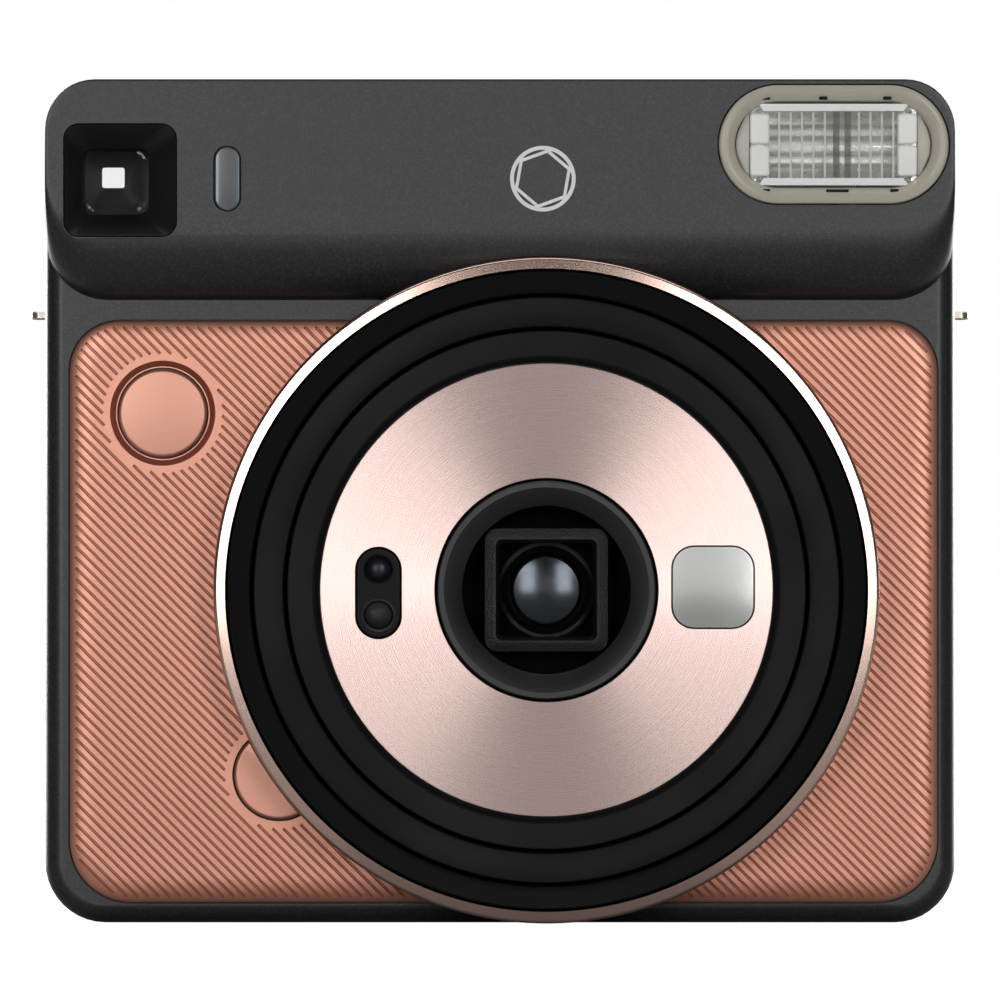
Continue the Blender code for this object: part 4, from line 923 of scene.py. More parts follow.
shares = (1.0, 0.985, 0.9, 0.75, 0.6, 0.45, 0.3, 0.15, 0.05)
mirror_loops = [
    at_level(filled(rounded(mirror_centre, (mirror_half, mirror_half), mirror_r), 0.0004), mirror_high.y),
]
mirror_loops += domed(mirror_centre, mirror_half, mirror_r, shares, mirror_low.y, DOME)
mirror = skin("selfie_mirror_silvered", mirror_loops, mirror_silver, smooth_below=60)
finish_piece(mirror, "inner_barrel", "mirror", "selfie_mirror")

# ---- Light sensors
# A gloss black capsule with two wells: a small coated lens for the flash sensor, a dark disc for the light
# cell.
gloss_black, tree, shader, place = new_material("gloss_black_polycarbonate")
haze = add_node(tree, "ShaderNodeTexNoise", {"Scale": 400.0, "Detail": 2.0}, {"Vector": place})
rough = add_node(tree, "ShaderNodeMapRange", {"To Min": 0.3, "To Max": 0.4}, {"Value": haze.outputs["Fac"]})
tree.links.new(rough.outputs[0], shader.inputs["Roughness"])
set_shader(shader, Base_Color=srgb("#060607"), Specular_IOR_Level=0.12)
cap_low, cap_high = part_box("sensor_cover")
capsule = skin(
    "sensor_cover_gloss",
    [
        at_level(filled(racetrack(sensor_centre, sensor_size, -inset), 0.0004), level)
        for inset, level in (
            (0.0002, cap_low.y),
            (0.00006, cap_low.y + 0.00006),
            (0.0, cap_low.y + 0.0002),
            (0.0, cap_high.y),
        )
    ],
    gloss_black,
)


def coated(name, tint, glow, roughness=0.04, coat_roughness=0.03):
    """Optical glass over a dark cell: a dark body with a faint coloured coating that shows from the side."""
    made, tree, shader, place = new_material(name)
    facing = add_node(tree, "ShaderNodeLayerWeight", {"Blend": 0.45})
    colour = add_node(
        tree,
        "ShaderNodeMix",
        links={"Factor": facing.outputs["Facing"]},
        data_type="RGBA",
    )
    colour.inputs["A"].default_value = srgb(tint)
    colour.inputs["B"].default_value = srgb(glow)
    speck = add_node(tree, "ShaderNodeTexNoise", {"Scale": 900.0, "Detail": 2.0}, {"Vector": place})
    rough = add_node(
        tree,
        "ShaderNodeMapRange",
        {"To Min": roughness * 0.6, "To Max": roughness * 1.4},
        {"Value": speck.outputs["Fac"]},
    )
    tree.links.new(rough.outputs[0], shader.inputs["Roughness"])
    tree.links.new(colour.outputs["Result"], shader.inputs["Base Color"])
    set_shader(shader, IOR=1.6, Coat_Weight=0.6, Coat_Roughness=coat_roughness)
    return made


violet_glass = coated("violet_coated_glass", "#0e0b18", "#1c1726", 0.35, 0.4)
smoke_glass = coated("smoked_glass", "#040405", "#08080a", 0.5, 0.5)
for glass in (violet_glass, smoke_glass):
    set_shader(glass.node_tree.nodes["Principled BSDF"], Specular_IOR_Level=0.2, Coat_Weight=0.12)
for node, glass, scale in (("light_sensor", violet_glass, 0.8), ("flash_sensor", smoke_glass, 0.92)):
    low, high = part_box(node)
    middle_of = ((low.x + high.x) / 2, (low.z + high.z) / 2)
    radius = (high.x - low.x) / 2
    carve(
        capsule,
        [plug(ring_points(middle_of, radius + SEAM * 1.1, 64), cap_low.y - 0.001, high.y + 0.0004)],
    )
    bead = [(
        radius * scale * math.sin(a),
        low.y + 0.0006 * (1 - math.cos(a)),
    ) for a in (0.0, 0.3, 0.6, 0.9, 1.2)]
    bead[-1] = (radius * scale, bead[-1][1])
    lens_bead = turned(
        node + "_glass",
        bead + [(radius, low.y + 0.0006), (radius, high.y), (0.0, high.y)],
        glass,
        middle_of,
        64,
    )
    finish_piece(lens_bead, "inner_barrel", "coated_glass", node)
settle(capsule)
finish_piece(capsule, "inner_barrel", "black_plastic", "sensor_cover")

# ---- Lens bezel and hood
# One black moulding: a narrow flat ring, a shallow cone and a straight wall down to a flat floor. The square
# hood in it is textured to stop glare, and the lens cell sits inside the hood.
bezel_face = bezel_low.y
CONE_R = 0.0118
bezel_profile = [
    (0.0068, bezel_high.y),
    (0.0068, bezel_high.y - 0.0012),
    (CONE_R, bezel_high.y - 0.0012),
    (CONE_R, bezel_face + 0.0012),
    (CONE_R + 0.0001, bezel_face + 0.0011),
    (BEZEL_R - 0.00094, bezel_face + 0.0002),
    (BEZEL_R - 0.00093, bezel_face),
    (BEZEL_R - 0.0002, bezel_face),
    (BEZEL_R, bezel_face + 0.0002),
    (BEZEL_R, bezel_high.y),
]
cone_black = moulded_plastic("black_abs_satin_cone", "#101011", 0.42, 0.00012, 0.08, 0.00001)
# the wall and floor deep in the recess get a darker, duller black: painted shade in the recess
recess_floor_black = moulded_plastic("black_recess_floor_painted_shade", "#050506", 0.95)
set_shader(recess_floor_black.node_tree.nodes["Principled BSDF"], Specular_IOR_Level=0.1)
bezel = turned("lens_bezel_black", bezel_profile, cone_black, steps=192, smooth_below=30)
bezel.data.materials.append(recess_floor_black)
# faces more than 2 mm behind the bezel's face take the painted shade black
for polygon in bezel.data.polygons:
    if polygon.center.y > bezel_face + 0.002:
        polygon.material_index = 1
finish_piece(bezel, "inner_barrel", "black_plastic", "lens_bezel")
hood_low, hood_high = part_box("square_hood")
HOOD_HALF = (hood_high.x - hood_low.x) / 2
grainy_black = moulded_plastic("black_abs_coarse_anti_glare", "#08080a", 0.5, 0.0003, 0.7, 0.00012, 0.3)
set_shader(grainy_black.node_tree.nodes["Principled BSDF"], Specular_IOR_Level=0.35)
hood_loops = [
    at_level(rounded(LENS, (half, half), radius), level)
    for half, radius, level in (
        (HOOD_HALF, 0.0018, hood_high.y),
        (HOOD_HALF, 0.0018, hood_low.y + 0.0008),
        (HOOD_HALF - 0.0002, 0.0016, hood_low.y + 0.0004),
        (HOOD_HALF - 0.0013, 0.0011, hood_low.y + 0.00005),
        (HOOD_HALF - 0.0015, 0.001, hood_low.y),
        (0.0071, 0.0009, hood_low.y),
        (0.0066, 0.0007, hood_low.y + 0.0008),
        (0.0066, 0.0007, hood_high.y),
    )
]
hood = skin("square_hood_textured", hood_loops, grainy_black, ends=False, smooth_below=30)
finish_piece(hood, "inner_barrel", "black_plastic", "square_hood")

# ---- Taking lens
# A black anodised cell with a stepped ring holds a coated glass element. Blades and rear lens sit behind.
cell_low, cell_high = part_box("lens_cell")
CELL_R = (cell_high.x - cell_low.x) / 2
glass_low, glass_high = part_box("front_lens")
GLASS_R = (glass_high.x - glass_low.x) / 2
cell_black = brushed_metal("black_anodised_aluminium_turned", "#050506", 0.5, 0.0, 0.00008)
cell_profile = [
    (GLASS_R + 0.0003, cell_high.y),
    (GLASS_R + 0.0003, cell_low.y + 0.0011),
    (GLASS_R + 0.0007, cell_low.y + 0.0004),
    (GLASS_R + 0.0008, cell_low.y + 0.0002),
    (CELL_R - 0.0005, cell_low.y + 0.0002),
    (CELL_R - 0.0004, cell_low.y),
    (CELL_R - 0.0001, cell_low.y),
    (CELL_R, cell_low.y + 0.0001),
    (CELL_R, cell_high.y),
]
cell = turned("lens_cell_black", cell_profile, cell_black, steps=128)
finish_piece(cell, "inner_barrel", "black_plastic", "lens_cell")
blue_glass = coated("blue_grey_coated_glass", "#010102", "#050607", 0.2, 0.18)
set_shader(blue_glass.node_tree.nodes["Principled BSDF"], Specular_Tint=srgb("#b9cbe0"))
EDGE_TILT = math.radians(15)
dome = []
for i in range(10):
    share = i / 9
    tilt = math.asin(share * math.sin(EDGE_TILT))
    dome.append(
        (GLASS_R * share, glass_low.y + 0.0002 + GLASS_R / math.sin(EDGE_TILT) * (1 - math.cos(tilt))),
    )
element = turned(
    "front_lens_glass",
    dome + [(GLASS_R, glass_high.y - 0.0002), (GLASS_R - 0.0002, glass_high.y), (0.0, glass_high.y)],
    blue_glass,
    steps=96,
)
finish_piece(element, "inner_barrel", "coated_glass", "front_lens")

# ---- Buttons
# Painted copper like the panel: flat discs with a small rounded edge, the lens button bitten by the ring.
button_copper = pearl_paint("pearl_copper_paint_on_buttons", "#c68f7b", "#9a5c48", 0.42)


def disc_button(name, node, centre, radius, look, edge=0.0005, steps=128):
    low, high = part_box(node)
    profile = [(0.0, low.y)]
    for i in range(7):
        turn = math.pi / 2 * i / 6
        profile.append((radius - edge + edge * math.sin(turn), low.y + edge - edge * math.cos(turn)))
    profile += [(radius, high.y), (0.0, high.y)]
    return turned(name, profile, look, centre, steps)


shutter_button = disc_button(
    "shutter_button_copper", "shutter_button", shutter_centre, shutter_size[0] / 2, button_copper
)
finish_piece(shutter_button, "shutter_button", "copper_paint", "shutter_button")
lens_button = disc_button(
    "lens_button_copper",
    "lens_button",
    lens_button_centre,
    LENS_BUTTON_R,
    button_copper,
)
carve(lens_button, [plug(ring_points(LENS, RING_R + SEAM * 1.1, 512), AHEAD, PARTING)])
settle(lens_button)
finish_piece(lens_button, "lens_button", "copper_paint", "lens_button")
for node in ("flash_button", "timer_button"):
    low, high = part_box(node)
    middle_of = ((low.x + high.x) / 2, (low.y + high.y) / 2)
    size = (high.x - low.x, high.y - low.y)
    loops = []
    for i in range(7):
        turn = math.pi / 2 * i / 6
        inset = 0.0004 * (1 - math.cos(turn))
        loops.append(
            at_level(racetrack(middle_of, size, -inset), high.z - 0.0004 + 0.0004 * math.sin(turn), "Z"),
        )
    loops.insert(0, at_level(racetrack(middle_of, size), low.z, "Z"))
    key = skin(node + "_copper", loops, button_copper)
    finish_piece(key, node, "copper_paint", node)

# ---- Viewfinder front
# A square black funnel round a moulded clear lens. Behind it a blackened tube runs to the eyepiece, with a
# small field stop that shows as a bright square when light comes in from behind.
finder_low, finder_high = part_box("viewfinder_frame")
tube_low, tube_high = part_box("viewfinder_tube")
EYE = ((tube_low.x + tube_high.x) / 2, (tube_low.z + tube_high.z) / 2)
EYE_HALF = 0.0048
FUNNEL_HALF = 0.0047  # the funnel's opening
finder_half = finder_size[0] / 2
funnel_black = moulded_plastic("black_abs_satin_funnel", "#17181a", 0.36, 0.0002, 0.06)
funnel_loops = [
    at_level(rounded(centre, (half, half), radius, steps=12), level)
    for centre, half, radius, level in (
        (finder_centre, finder_half, 0.002, finder_high.y),
        (finder_centre, finder_half, 0.002, finder_low.y + 0.0001),
        (finder_centre, finder_half - 0.0001, 0.0019, finder_low.y),
        (finder_centre, finder_half - 0.0002, 0.0019, finder_low.y + 0.0001),
        (EYE, FUNNEL_HALF + 0.0002, 0.0016, finder_low.y + 0.005),
        (EYE, FUNNEL_HALF, 0.0015, finder_low.y + 0.0052),
        (EYE, FUNNEL_HALF, 0.0015, finder_high.y),
    )
]
funnel = skin("viewfinder_funnel", funnel_loops, funnel_black, ends=False, smooth_below=30)
finish_piece(funnel, "camera_body", "black_plastic", "viewfinder_frame")


def clear_part(name, tint, alpha, roughness=0.05):
    """Clear moulded acrylic: its own reflections over what lies behind it."""
    made, tree, shader, place = new_material(name)
    facing = add_node(tree, "ShaderNodeLayerWeight", {"Blend": 0.25})
    cover_share = add_node(
        tree,
        "ShaderNodeMapRange",
        {"To Min": alpha, "To Max": min(1.0, alpha + 0.55)},
        {"Value": facing.outputs["Facing"]},
    )
    ripple = add_node(tree, "ShaderNodeTexNoise", {"Scale": 150.0, "Detail": 2.0}, {"Vector": place})
    rough = add_node(
        tree,
        "ShaderNodeMapRange",
        {"To Min": roughness * 0.6, "To Max": roughness * 1.4},
        {"Value": ripple.outputs["Fac"]},
    )
    tree.links.new(cover_share.outputs[0], shader.inputs["Alpha"])
    tree.links.new(rough.outputs[0], shader.inputs["Roughness"])
    set_shader(shader, Base_Color=srgb(tint), IOR=1.49)
    return made


finder_acrylic = clear_part("clear_acrylic_viewfinder", "#1b2120", 0.04, 0.03)
lens_low, lens_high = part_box("viewfinder_front_lens")
# a negative lens: thick rim, hollow front, and a moulded lip; the light on its corners is painted on slivers
# just in front of it, below
lens_half = (lens_high.x - lens_low.x) / 2
front_loops = [
    at_level(rounded(EYE, (half, half), radius), level)
    for half, radius, level in (
        (lens_half, 0.0017, lens_high.y),
        (lens_half, 0.0017, lens_low.y + 0.0001),
        (lens_half - 0.0001, 0.0017, lens_low.y),
        (lens_half - 0.0005, 0.0016, lens_low.y + 0.00005),
        (lens_half - 0.0011, 0.0014, lens_low.y + 0.0002),
        (lens_half - 0.0012, 0.0014, lens_low.y + 0.0007),
        (lens_half - 0.002, 0.0012, lens_low.y + 0.0009),
        (lens_half - 0.003, 0.0009, lens_low.y + 0.0011),
        (lens_half - 0.004, 0.0004, lens_low.y + 0.0012),
    )
]
finder_lens = skin("viewfinder_front_lens_acrylic", front_loops, finder_acrylic, smooth_below=25)
finish_piece(finder_lens, "camera_body", "clear_plastic", "viewfinder_front_lens")
# Painted glints: pale mottled slivers laid just in front of three corners of the finder lens
painted_glint, tree, shader, place = new_material("painted_glint_on_acrylic_corner")
grade = add_node(tree, "ShaderNodeTexNoise", {"Scale": 1100.0, "Detail": 2.0}, {"Vector": place})
tone = add_node(tree, "ShaderNodeValToRGB", links={"Fac": grade.outputs["Fac"]})
tone.color_ramp.elements[0].color = srgb("#1d2021")
tone.color_ramp.elements[0].position = 0.42
tone.color_ramp.elements[1].color = srgb("#b9bdbf")
tone.color_ramp.elements[1].position = 0.62
tree.links.new(tone.outputs["Color"], shader.inputs["Base Color"])
set_shader(shader, Roughness=0.15)
for name, start in (("high_right", 20), ("low_right", 290), ("low_left", 200)):
    # a thin curved sliver along the lens's rounded corner, mottled pale grey: a painted glint
    arc = []
    corner = (
        EYE[0] + math.copysign(lens_half - 0.0021, math.cos(math.radians(start + 25))),
        EYE[1] + math.copysign(lens_half - 0.0021, math.sin(math.radians(start + 25))),
    )
    for reach, turns in ((0.0017, range(0, 55, 6)), (0.0014, range(50, -1, -6))):
        for turn in turns:
            bearing = math.radians(start + turn)
            arc.append((corner[0] + reach * math.cos(bearing), corner[1] + reach * math.sin(bearing)))
    sliver = skin(
        "viewfinder_lens_painted_glint_" + name,
        [at_level(arc, lens_low.y + 0.00002), at_level(arc, lens_low.y - 0.00008)],
        painted_glint,
    )
    finish_piece(sliver, "camera_body", "clear_plastic")
tube_black = moulded_plastic("black_abs_blackened_tube", "#101011", 0.6)
STOP_HALF = (0.0016, 0.00145)
STOP = (EYE[0] - 0.0008, EYE[1] + 0.0009)
tube_half = (tube_high.x - tube_low.x) / 2
tube_loops = [
    at_level(rounded(centre, (half_u, half_v), radius), level)
    for centre, half_u, half_v, radius, level in (
        (EYE, tube_half, tube_half, 0.0008, tube_high.y),
        (EYE, tube_half, tube_half, 0.0008, tube_low.y),
        (EYE, EYE_HALF, EYE_HALF, 0.0006, tube_low.y),
        (EYE, EYE_HALF - 0.0002, EYE_HALF - 0.0002, 0.0006, tube_low.y + 0.012),
        (STOP, STOP_HALF[0], STOP_HALF[1], 0.0004, tube_low.y + 0.0122),
        (STOP, STOP_HALF[0], STOP_HALF[1], 0.0004, tube_low.y + 0.0128),
        (EYE, EYE_HALF - 0.0002, EYE_HALF - 0.0002, 0.0006, tube_low.y + 0.013),
        (EYE, EYE_HALF - 0.0002, EYE_HALF - 0.0002, 0.0006, tube_high.y),
    )
]
tube = skin("viewfinder_tube_black", tube_loops, tube_black, ends=False)
finish_piece(tube, "camera_body", "black_plastic", "viewfinder_tube")

# ---- Self-timer lamp
# A smoked light pipe in an upright slot; its lamp is off.
lamp_low, lamp_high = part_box("timer_lamp")
lamp_smoke, tree, shader, place = new_material("smoked_polycarbonate_light_pipe")
grade = add_node(tree, "ShaderNodeSeparateXYZ", links={"Vector": place})
# lighter neutral grey just left of the pipe's middle and bluish towards its sides: a painted sheen across the
# pipe
lamp_sheen_across = add_node(
    tree,
    "ShaderNodeMapRange",
    {
        "From Min": lamp_centre[0] - 0.0018,
        "From Max": lamp_centre[0] + 0.0018,
        "To Min": 0.0,
        "To Max": 1.0,
    },
    {"Value": grade.outputs["X"]},
)
tone = add_node(tree, "ShaderNodeValToRGB", links={"Fac": lamp_sheen_across.outputs[0]})
tone.color_ramp.elements[0].color = srgb("#3b484f")
tone.color_ramp.elements[1].color = srgb("#46535a")
tone.color_ramp.elements.new(0.45).color = srgb("#5c5a5c")
tree.links.new(tone.outputs["Color"], shader.inputs["Base Color"])
set_shader(shader, Roughness=0.22, Coat_Weight=0.5)
lamp_loops = [at_level(racetrack(lamp_centre, lamp_size), lamp_high.y)]
for i in range(6):
    turn = math.pi / 2 * i / 5
    inset = 0.0003 * (1 - math.cos(turn))
    lamp_loops.append(
        at_level(racetrack(lamp_centre, lamp_size, -inset), lamp_low.y + 0.0003 * (1 - math.sin(turn))),
    )
lamp = skin("timer_lamp_smoked", lamp_loops, lamp_smoke)
finish_piece(lamp, "camera_body", "clear_plastic", "timer_lamp")

# ---- Front emblem
# A pad-printed line drawing of an aperture, 0.02 mm of white ink: a ring and six blade edges.
ink, tree, shader, place = new_material("white_pad_print_ink")
speck = add_node(tree, "ShaderNodeTexNoise", {"Scale": 1500.0, "Detail": 2.0}, {"Vector": place})
tone = add_node(tree, "ShaderNodeValToRGB", links={"Fac": speck.outputs["Fac"]})
tone.color_ramp.elements[0].color = srgb("#dcdcdb")
tone.color_ramp.elements[1].color = srgb("#f0f0ef")
tree.links.new(tone.outputs["Color"], shader.inputs["Base Color"])
set_shader(shader, Roughness=0.55)
EMBLEM_CENTRE = (0.006, HEIGHT - 0.0142)
EMBLEM_R = 0.0046
LINE = 0.00055
INK_FACE = BROW_FRONT - 0.00002
INK_BACK = BROW_FRONT + 0.00012
emblem = turned(
    "emblem_aperture",
    [
        (EMBLEM_R - LINE, INK_BACK),
        (EMBLEM_R - LINE, INK_FACE),
        (EMBLEM_R, INK_FACE),
        (EMBLEM_R, INK_BACK),
    ],
    ink,
    EMBLEM_CENTRE,
    96,
)
strokes = []
for i in range(6):
    start = math.radians(60 * i + 12)
    heading = start + math.radians(180 - 52)
    foot = (
        EMBLEM_CENTRE[0] + (EMBLEM_R - LINE / 2) * math.cos(start),
        EMBLEM_CENTRE[1] + (EMBLEM_R - LINE / 2) * math.sin(start),
    )
    tip = (foot[0] + EMBLEM_R * 1.02 * math.cos(heading), foot[1] + EMBLEM_R * 1.02 * math.sin(heading))
    side = (-math.sin(heading) * LINE * 0.4, math.cos(heading) * LINE * 0.4)
    corners = [
        (foot[0] - side[0], foot[1] - side[1]),
        (tip[0] - side[0], tip[1] - side[1]),
        (tip[0] + side[0], tip[1] + side[1]),
        (foot[0] + side[0], foot[1] + side[1]),
    ]
    strokes.append(skin("stroke", [at_level(corners, INK_FACE), at_level(corners, INK_BACK)], ink))
carve(emblem, strokes, "UNION")
settle(emblem)


def disc(name, centre, radius, level, look=ink, depth=0.00014):
    """A printed dot on the rear."""
    outline = ring_points(centre, radius, 24)
    return skin(name, [at_level(outline, level - depth), at_level(outline, level + 0.00002)], look)


finish_piece(emblem, "camera_body", "white_plastic")

# ---- Flash
# A clear acrylic window with a moulded rim, upright ribs just behind it that spread the light, and a
# mirrored trough with a xenon tube.
window_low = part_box("flash_window")[0]
window_acrylic = clear_part("clear_acrylic_flash_window", "#c3c8c2", 0.06, 0.04)
rim_acrylic = clear_part("clear_acrylic_flash_rim", "#dcd7c6", 0.55, 0.12)
rib_acrylic = clear_part("frosted_acrylic_flash_ribs", "#f4f5f1", 0.6, 0.3)
band_acrylic = clear_part("clear_acrylic_prism_band", "#4f524d", 0.5, 0.2)
rim_loops = [
    at_level(racetrack(flash_centre, flash_size, -inset), level)
    for inset, level in (
        (0.0, window_low.y + 0.004),
        (0.0, window_low.y + 0.0005),
        (0.00015, window_low.y + 0.00015),
        (0.0005, window_low.y),
        (0.0011, window_low.y),
        (0.0015, window_low.y + 0.0002),
        (0.0021, window_low.y + 0.0009),
        (0.0023, window_low.y + 0.0016),
        (0.0023, window_low.y + 0.004),
    )
]
rim = skin("flash_rim_acrylic", rim_loops, rim_acrylic, ends=False, smooth_below=35)
finish_piece(rim, "camera_body", "clear_plastic")
pane_loops = [
    at_level(racetrack(flash_centre, flash_size, -inset), level)
    for inset, level in ((0.00235, window_low.y + 0.0022), (0.00235, window_low.y + 0.0009))
]
for i in range(1, 6):
    share = i / 5
    pane_loops.append(
        at_level(
            racetrack(flash_centre, flash_size, -0.00235 - 0.0055 * share),
            window_low.y + 0.0009 - 0.0006 * math.sin(math.pi / 2 * share),
        )
    )
pane = skin("flash_window_acrylic", pane_loops, window_acrylic, smooth_below=35)
RIB_PITCH = 0.0016
rib_span = flash_size[0] - flash_size[1] + 0.006
for i in range(int(rib_span / RIB_PITCH) + 1):
    u = flash_centre[0] - rib_span / 2 + i * RIB_PITCH
    rib_half = 0.00045 if abs(u - flash_centre[0] - 0.0008) < 0.0013 else 0.00014
    corners = [
        (u - rib_half, flash_centre[1] - 0.0046),
        (u + rib_half, flash_centre[1] - 0.0046),
        (u + rib_half, flash_centre[1] + 0.0046),
        (u - rib_half, flash_centre[1] + 0.0046),
    ]
    rib = skin(
        f"flash_rib_{i}",
        [at_level(corners, window_low.y + 0.0023), at_level(corners, window_low.y + 0.00265)],
        band_acrylic if rib_half > 0.0003 else rib_acrylic,
    )
    finish_piece(rib, "camera_body", "clear_plastic")
settle(pane)
finish_piece(pane, "camera_body", "clear_plastic", "flash_window")

# the reflector: an aluminised trough, curved above and below the tube, with white moulded end blocks
silvered, tree, shader, place = new_material("vacuum_aluminised_reflector")
haze = add_node(tree, "ShaderNodeTexNoise", {"Scale": 240.0, "Detail": 3.0}, {"Vector": place})
rough = add_node(
    tree,
    "ShaderNodeMapRange",
    {"To Min": 0.2, "To Max": 0.32},
    {"Value": haze.outputs["Fac"]},
)
tree.links.new(rough.outputs[0], shader.inputs["Roughness"])
set_shader(shader, Base_Color=srgb("#f4f4f0"), Metallic=0.85)
trough_low, trough_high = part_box("flash_reflector")
trough_half = ((trough_high.x - trough_low.x) / 2, (trough_high.z - trough_low.z) / 2)
trough = []
for i in range(13):
    turn = math.pi / 2 * i / 12
    reach_v = 0.0022 + (trough_half[1] - 0.0006 - 0.0022) * math.cos(turn)
    reach_u = trough_half[0] - 0.0006 - 0.0008 * math.sin(turn)
    level = trough_low.y + 0.0002 + (trough_high.y - trough_low.y - 0.001) * math.sin(turn)
    trough.append(at_level(rounded(flash_centre, (reach_u, reach_v), 0.0004, steps=4), level))
trough.append(at_level(
    rounded(flash_centre, (trough_half[0] - 0.0014, 0.0001), 0.00005, steps=4),
    trough_high.y - 0.0006,
))
outside = [
    at_level(rounded(flash_centre, (trough_half[0] - 0.001, 0.003), 0.0005, steps=4), trough_high.y),
    at_level(rounded(flash_centre, trough_half, 0.0005, steps=4), trough_high.y - 0.005),
    at_level(rounded(flash_centre, trough_half, 0.0005, steps=4), trough_low.y),
]
reflector = skin("flash_reflector_silvered", list(reversed(trough)) + list(reversed(outside)), silvered)
end_white, tree, shader, place = new_material("white_polycarbonate_end_blocks")
speck = add_node(tree, "ShaderNodeTexNoise", {"Scale": 700.0, "Detail": 2.0}, {"Vector": place})
tone = add_node(tree, "ShaderNodeValToRGB", links={"Fac": speck.outputs["Fac"]})
tone.color_ramp.elements[0].color = srgb("#f1f1ee")
tone.color_ramp.elements[1].color = srgb("#fbfbf9")
tree.links.new(tone.outputs["Color"], shader.inputs["Base Color"])
set_shader(shader, Roughness=0.35)
finish_piece(reflector, "camera_body", "reflector", "flash_reflector")
for half in (-1, 1):
    # a white lip along the trough's upper and lower edge, its ends cut at a slant
    edge_v = flash_centre[1] + half * 0.0047
    far_v = flash_centre[1] + half * 0.0057
    corners = [
        (flash_centre[0] - 0.0098, edge_v),
        (flash_centre[0] + 0.0098, edge_v),
        (flash_centre[0] + 0.0105, far_v),
        (flash_centre[0] - 0.0105, far_v),
    ]
    lip = skin(
        "flash_lip_" + ("low" if half < 0 else "high"),
        [at_level(corners, trough_low.y - 0.0003), at_level(corners, trough_low.y - 0.0008)],
        end_white,
    )
    finish_piece(lip, "camera_body", "white_plastic")
tube_low_x, tube_high_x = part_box("flash_tube")
TUBE_R = (tube_high_x.z - tube_low_x.z) / 2
for side in (-1, 1):
    for half in (-1, 1):
        near = trough_half[0] + 0.0001
        far = trough_half[0] - 0.0026
        centre_u = flash_centre[0] + side * (near + far) / 2
        centre_v = flash_centre[1] + half * 0.00225
        block = skin(
            f"flash_end_block_{'left' if side < 0 else 'right'}_{'low' if half < 0 else 'high'}",
            [
                at_level(
                    rounded(
                        (centre_u, centre_v),
                        ((near - far) / 2 - inset, 0.0021 - inset),
                        0.0004,
                        steps=4,
                    ), level
                )
                for inset, level in (
                    (0.0, trough_low.y + 0.002),
                    (0.0, trough_low.y - 0.0002),
                    (0.0002, trough_low.y - 0.0004),
                )
            ],
            end_white,
        )
        finish_piece(block, "camera_body", "white_plastic")
xenon = clear_part("clear_quartz_flash_tube", "#cfd3cf", 0.3, 0.03)
tube_glass = skin(
    "flash_tube_quartz",
    [
        [
            (x, tube_low_x.y + TUBE_R + r * math.cos(a), flash_centre[1] + r * math.sin(a))
            for a in (math.pi * 2 * i / 32 for i in range(32))
        ]
        for x, r in (
            (tube_low_x.x, TUBE_R * 0.7),
            (tube_low_x.x + 0.0002, TUBE_R),
            (tube_high_x.x - 0.0002, TUBE_R),
            (tube_high_x.x, TUBE_R * 0.7),
        )
    ],
    xenon,
)
finish_piece(tube_glass, "camera_body", "coated_glass", "flash_tube")
# a frosted collar fills the room between the trough and the rim, and small clips hold the window in it
frosted, tree, shader, place = new_material("frosted_grey_polycarbonate_collar")
speck = add_node(tree, "ShaderNodeTexNoise", {"Scale": 900.0, "Detail": 3.0}, {"Vector": place})
tone = add_node(tree, "ShaderNodeValToRGB", links={"Fac": speck.outputs["Fac"]})
tone.color_ramp.elements[0].color = srgb("#c4c1b5")
tone.color_ramp.elements[1].color = srgb("#dcd9ce")
tree.links.new(tone.outputs["Color"], shader.inputs["Base Color"])
set_shader(shader, Roughness=0.5)
collar = skin(
    "flash_collar_frosted",
    [
        at_level(racetrack(flash_centre, flash_size, -0.0025), window_low.y + 0.0035),
        at_level(racetrack(flash_centre, flash_size, -0.0025), window_low.y + 0.0031),
        at_level(
            rounded(flash_centre, (trough_half[0] + 0.0002, trough_half[1] + 0.0002), 0.0009, steps=24),
            window_low.y + 0.0027,
        ),
        at_level(
            rounded(flash_centre, (trough_half[0] + 0.0002, trough_half[1] + 0.0002), 0.0009, steps=24),
            window_low.y + 0.0035,
        ),
    ],
    frosted,
    ends=False,
)
finish_piece(collar, "camera_body", "clear_plastic")
for i, (
    u,
    turned_by,
) in enumerate(((-0.0095, 0), (-0.0015, 0), (0.0075, 0), (-0.0095, 1), (0.0005, 1), (0.0085, 1))):
    up = -1 if turned_by else 1
    where = (flash_centre[0] + u, flash_centre[1] + up * (flash_size[1] / 2 - 0.0017))
    half = (0.0016, 0.0003) if i == 4 else (0.0006, 0.00035)
    clip = skin(
        f"flash_clip_{i}",
        [
            at_level(rounded(where, (half[0] - e, half[1] - e), 0.0001, steps=3), level)
            for e, level in (
                (0.0, window_low.y + 0.0012),
                (0.0, window_low.y + 0.00045),
                (0.0001, window_low.y + 0.0003),
            )
        ],
        gloss_black,
    )
    finish_piece(clip, "camera_body", "black_plastic")

# ---- Strap lugs
# Bent stainless strip with a hole for the wrist strap, riveted inside the shell and showing at each side.
stainless, tree, shader, place = new_material("stainless_strip_rolled")
rolled = add_node(tree, "ShaderNodeMapping", {"Scale": (40.0, 4000.0, 4000.0)}, {"Vector": place})
lines = add_node(tree, "ShaderNodeTexNoise", {"Scale": 1.0, "Detail": 2.0}, {"Vector": rolled.outputs[0]})
rough = add_node(
    tree,
    "ShaderNodeMapRange",
    {"To Min": 0.24, "To Max": 0.42},
    {"Value": lines.outputs["Fac"]},
)
tree.links.new(rough.outputs[0], shader.inputs["Roughness"])
tone = add_node(tree, "ShaderNodeValToRGB", links={"Fac": lines.outputs["Fac"]})
tone.color_ramp.elements[0].color = srgb("#a59c90")
tone.color_ramp.elements[1].color = srgb("#cfc8bd")
tree.links.new(tone.outputs["Color"], shader.inputs["Base Color"])
set_shader(shader, Metallic=1.0)

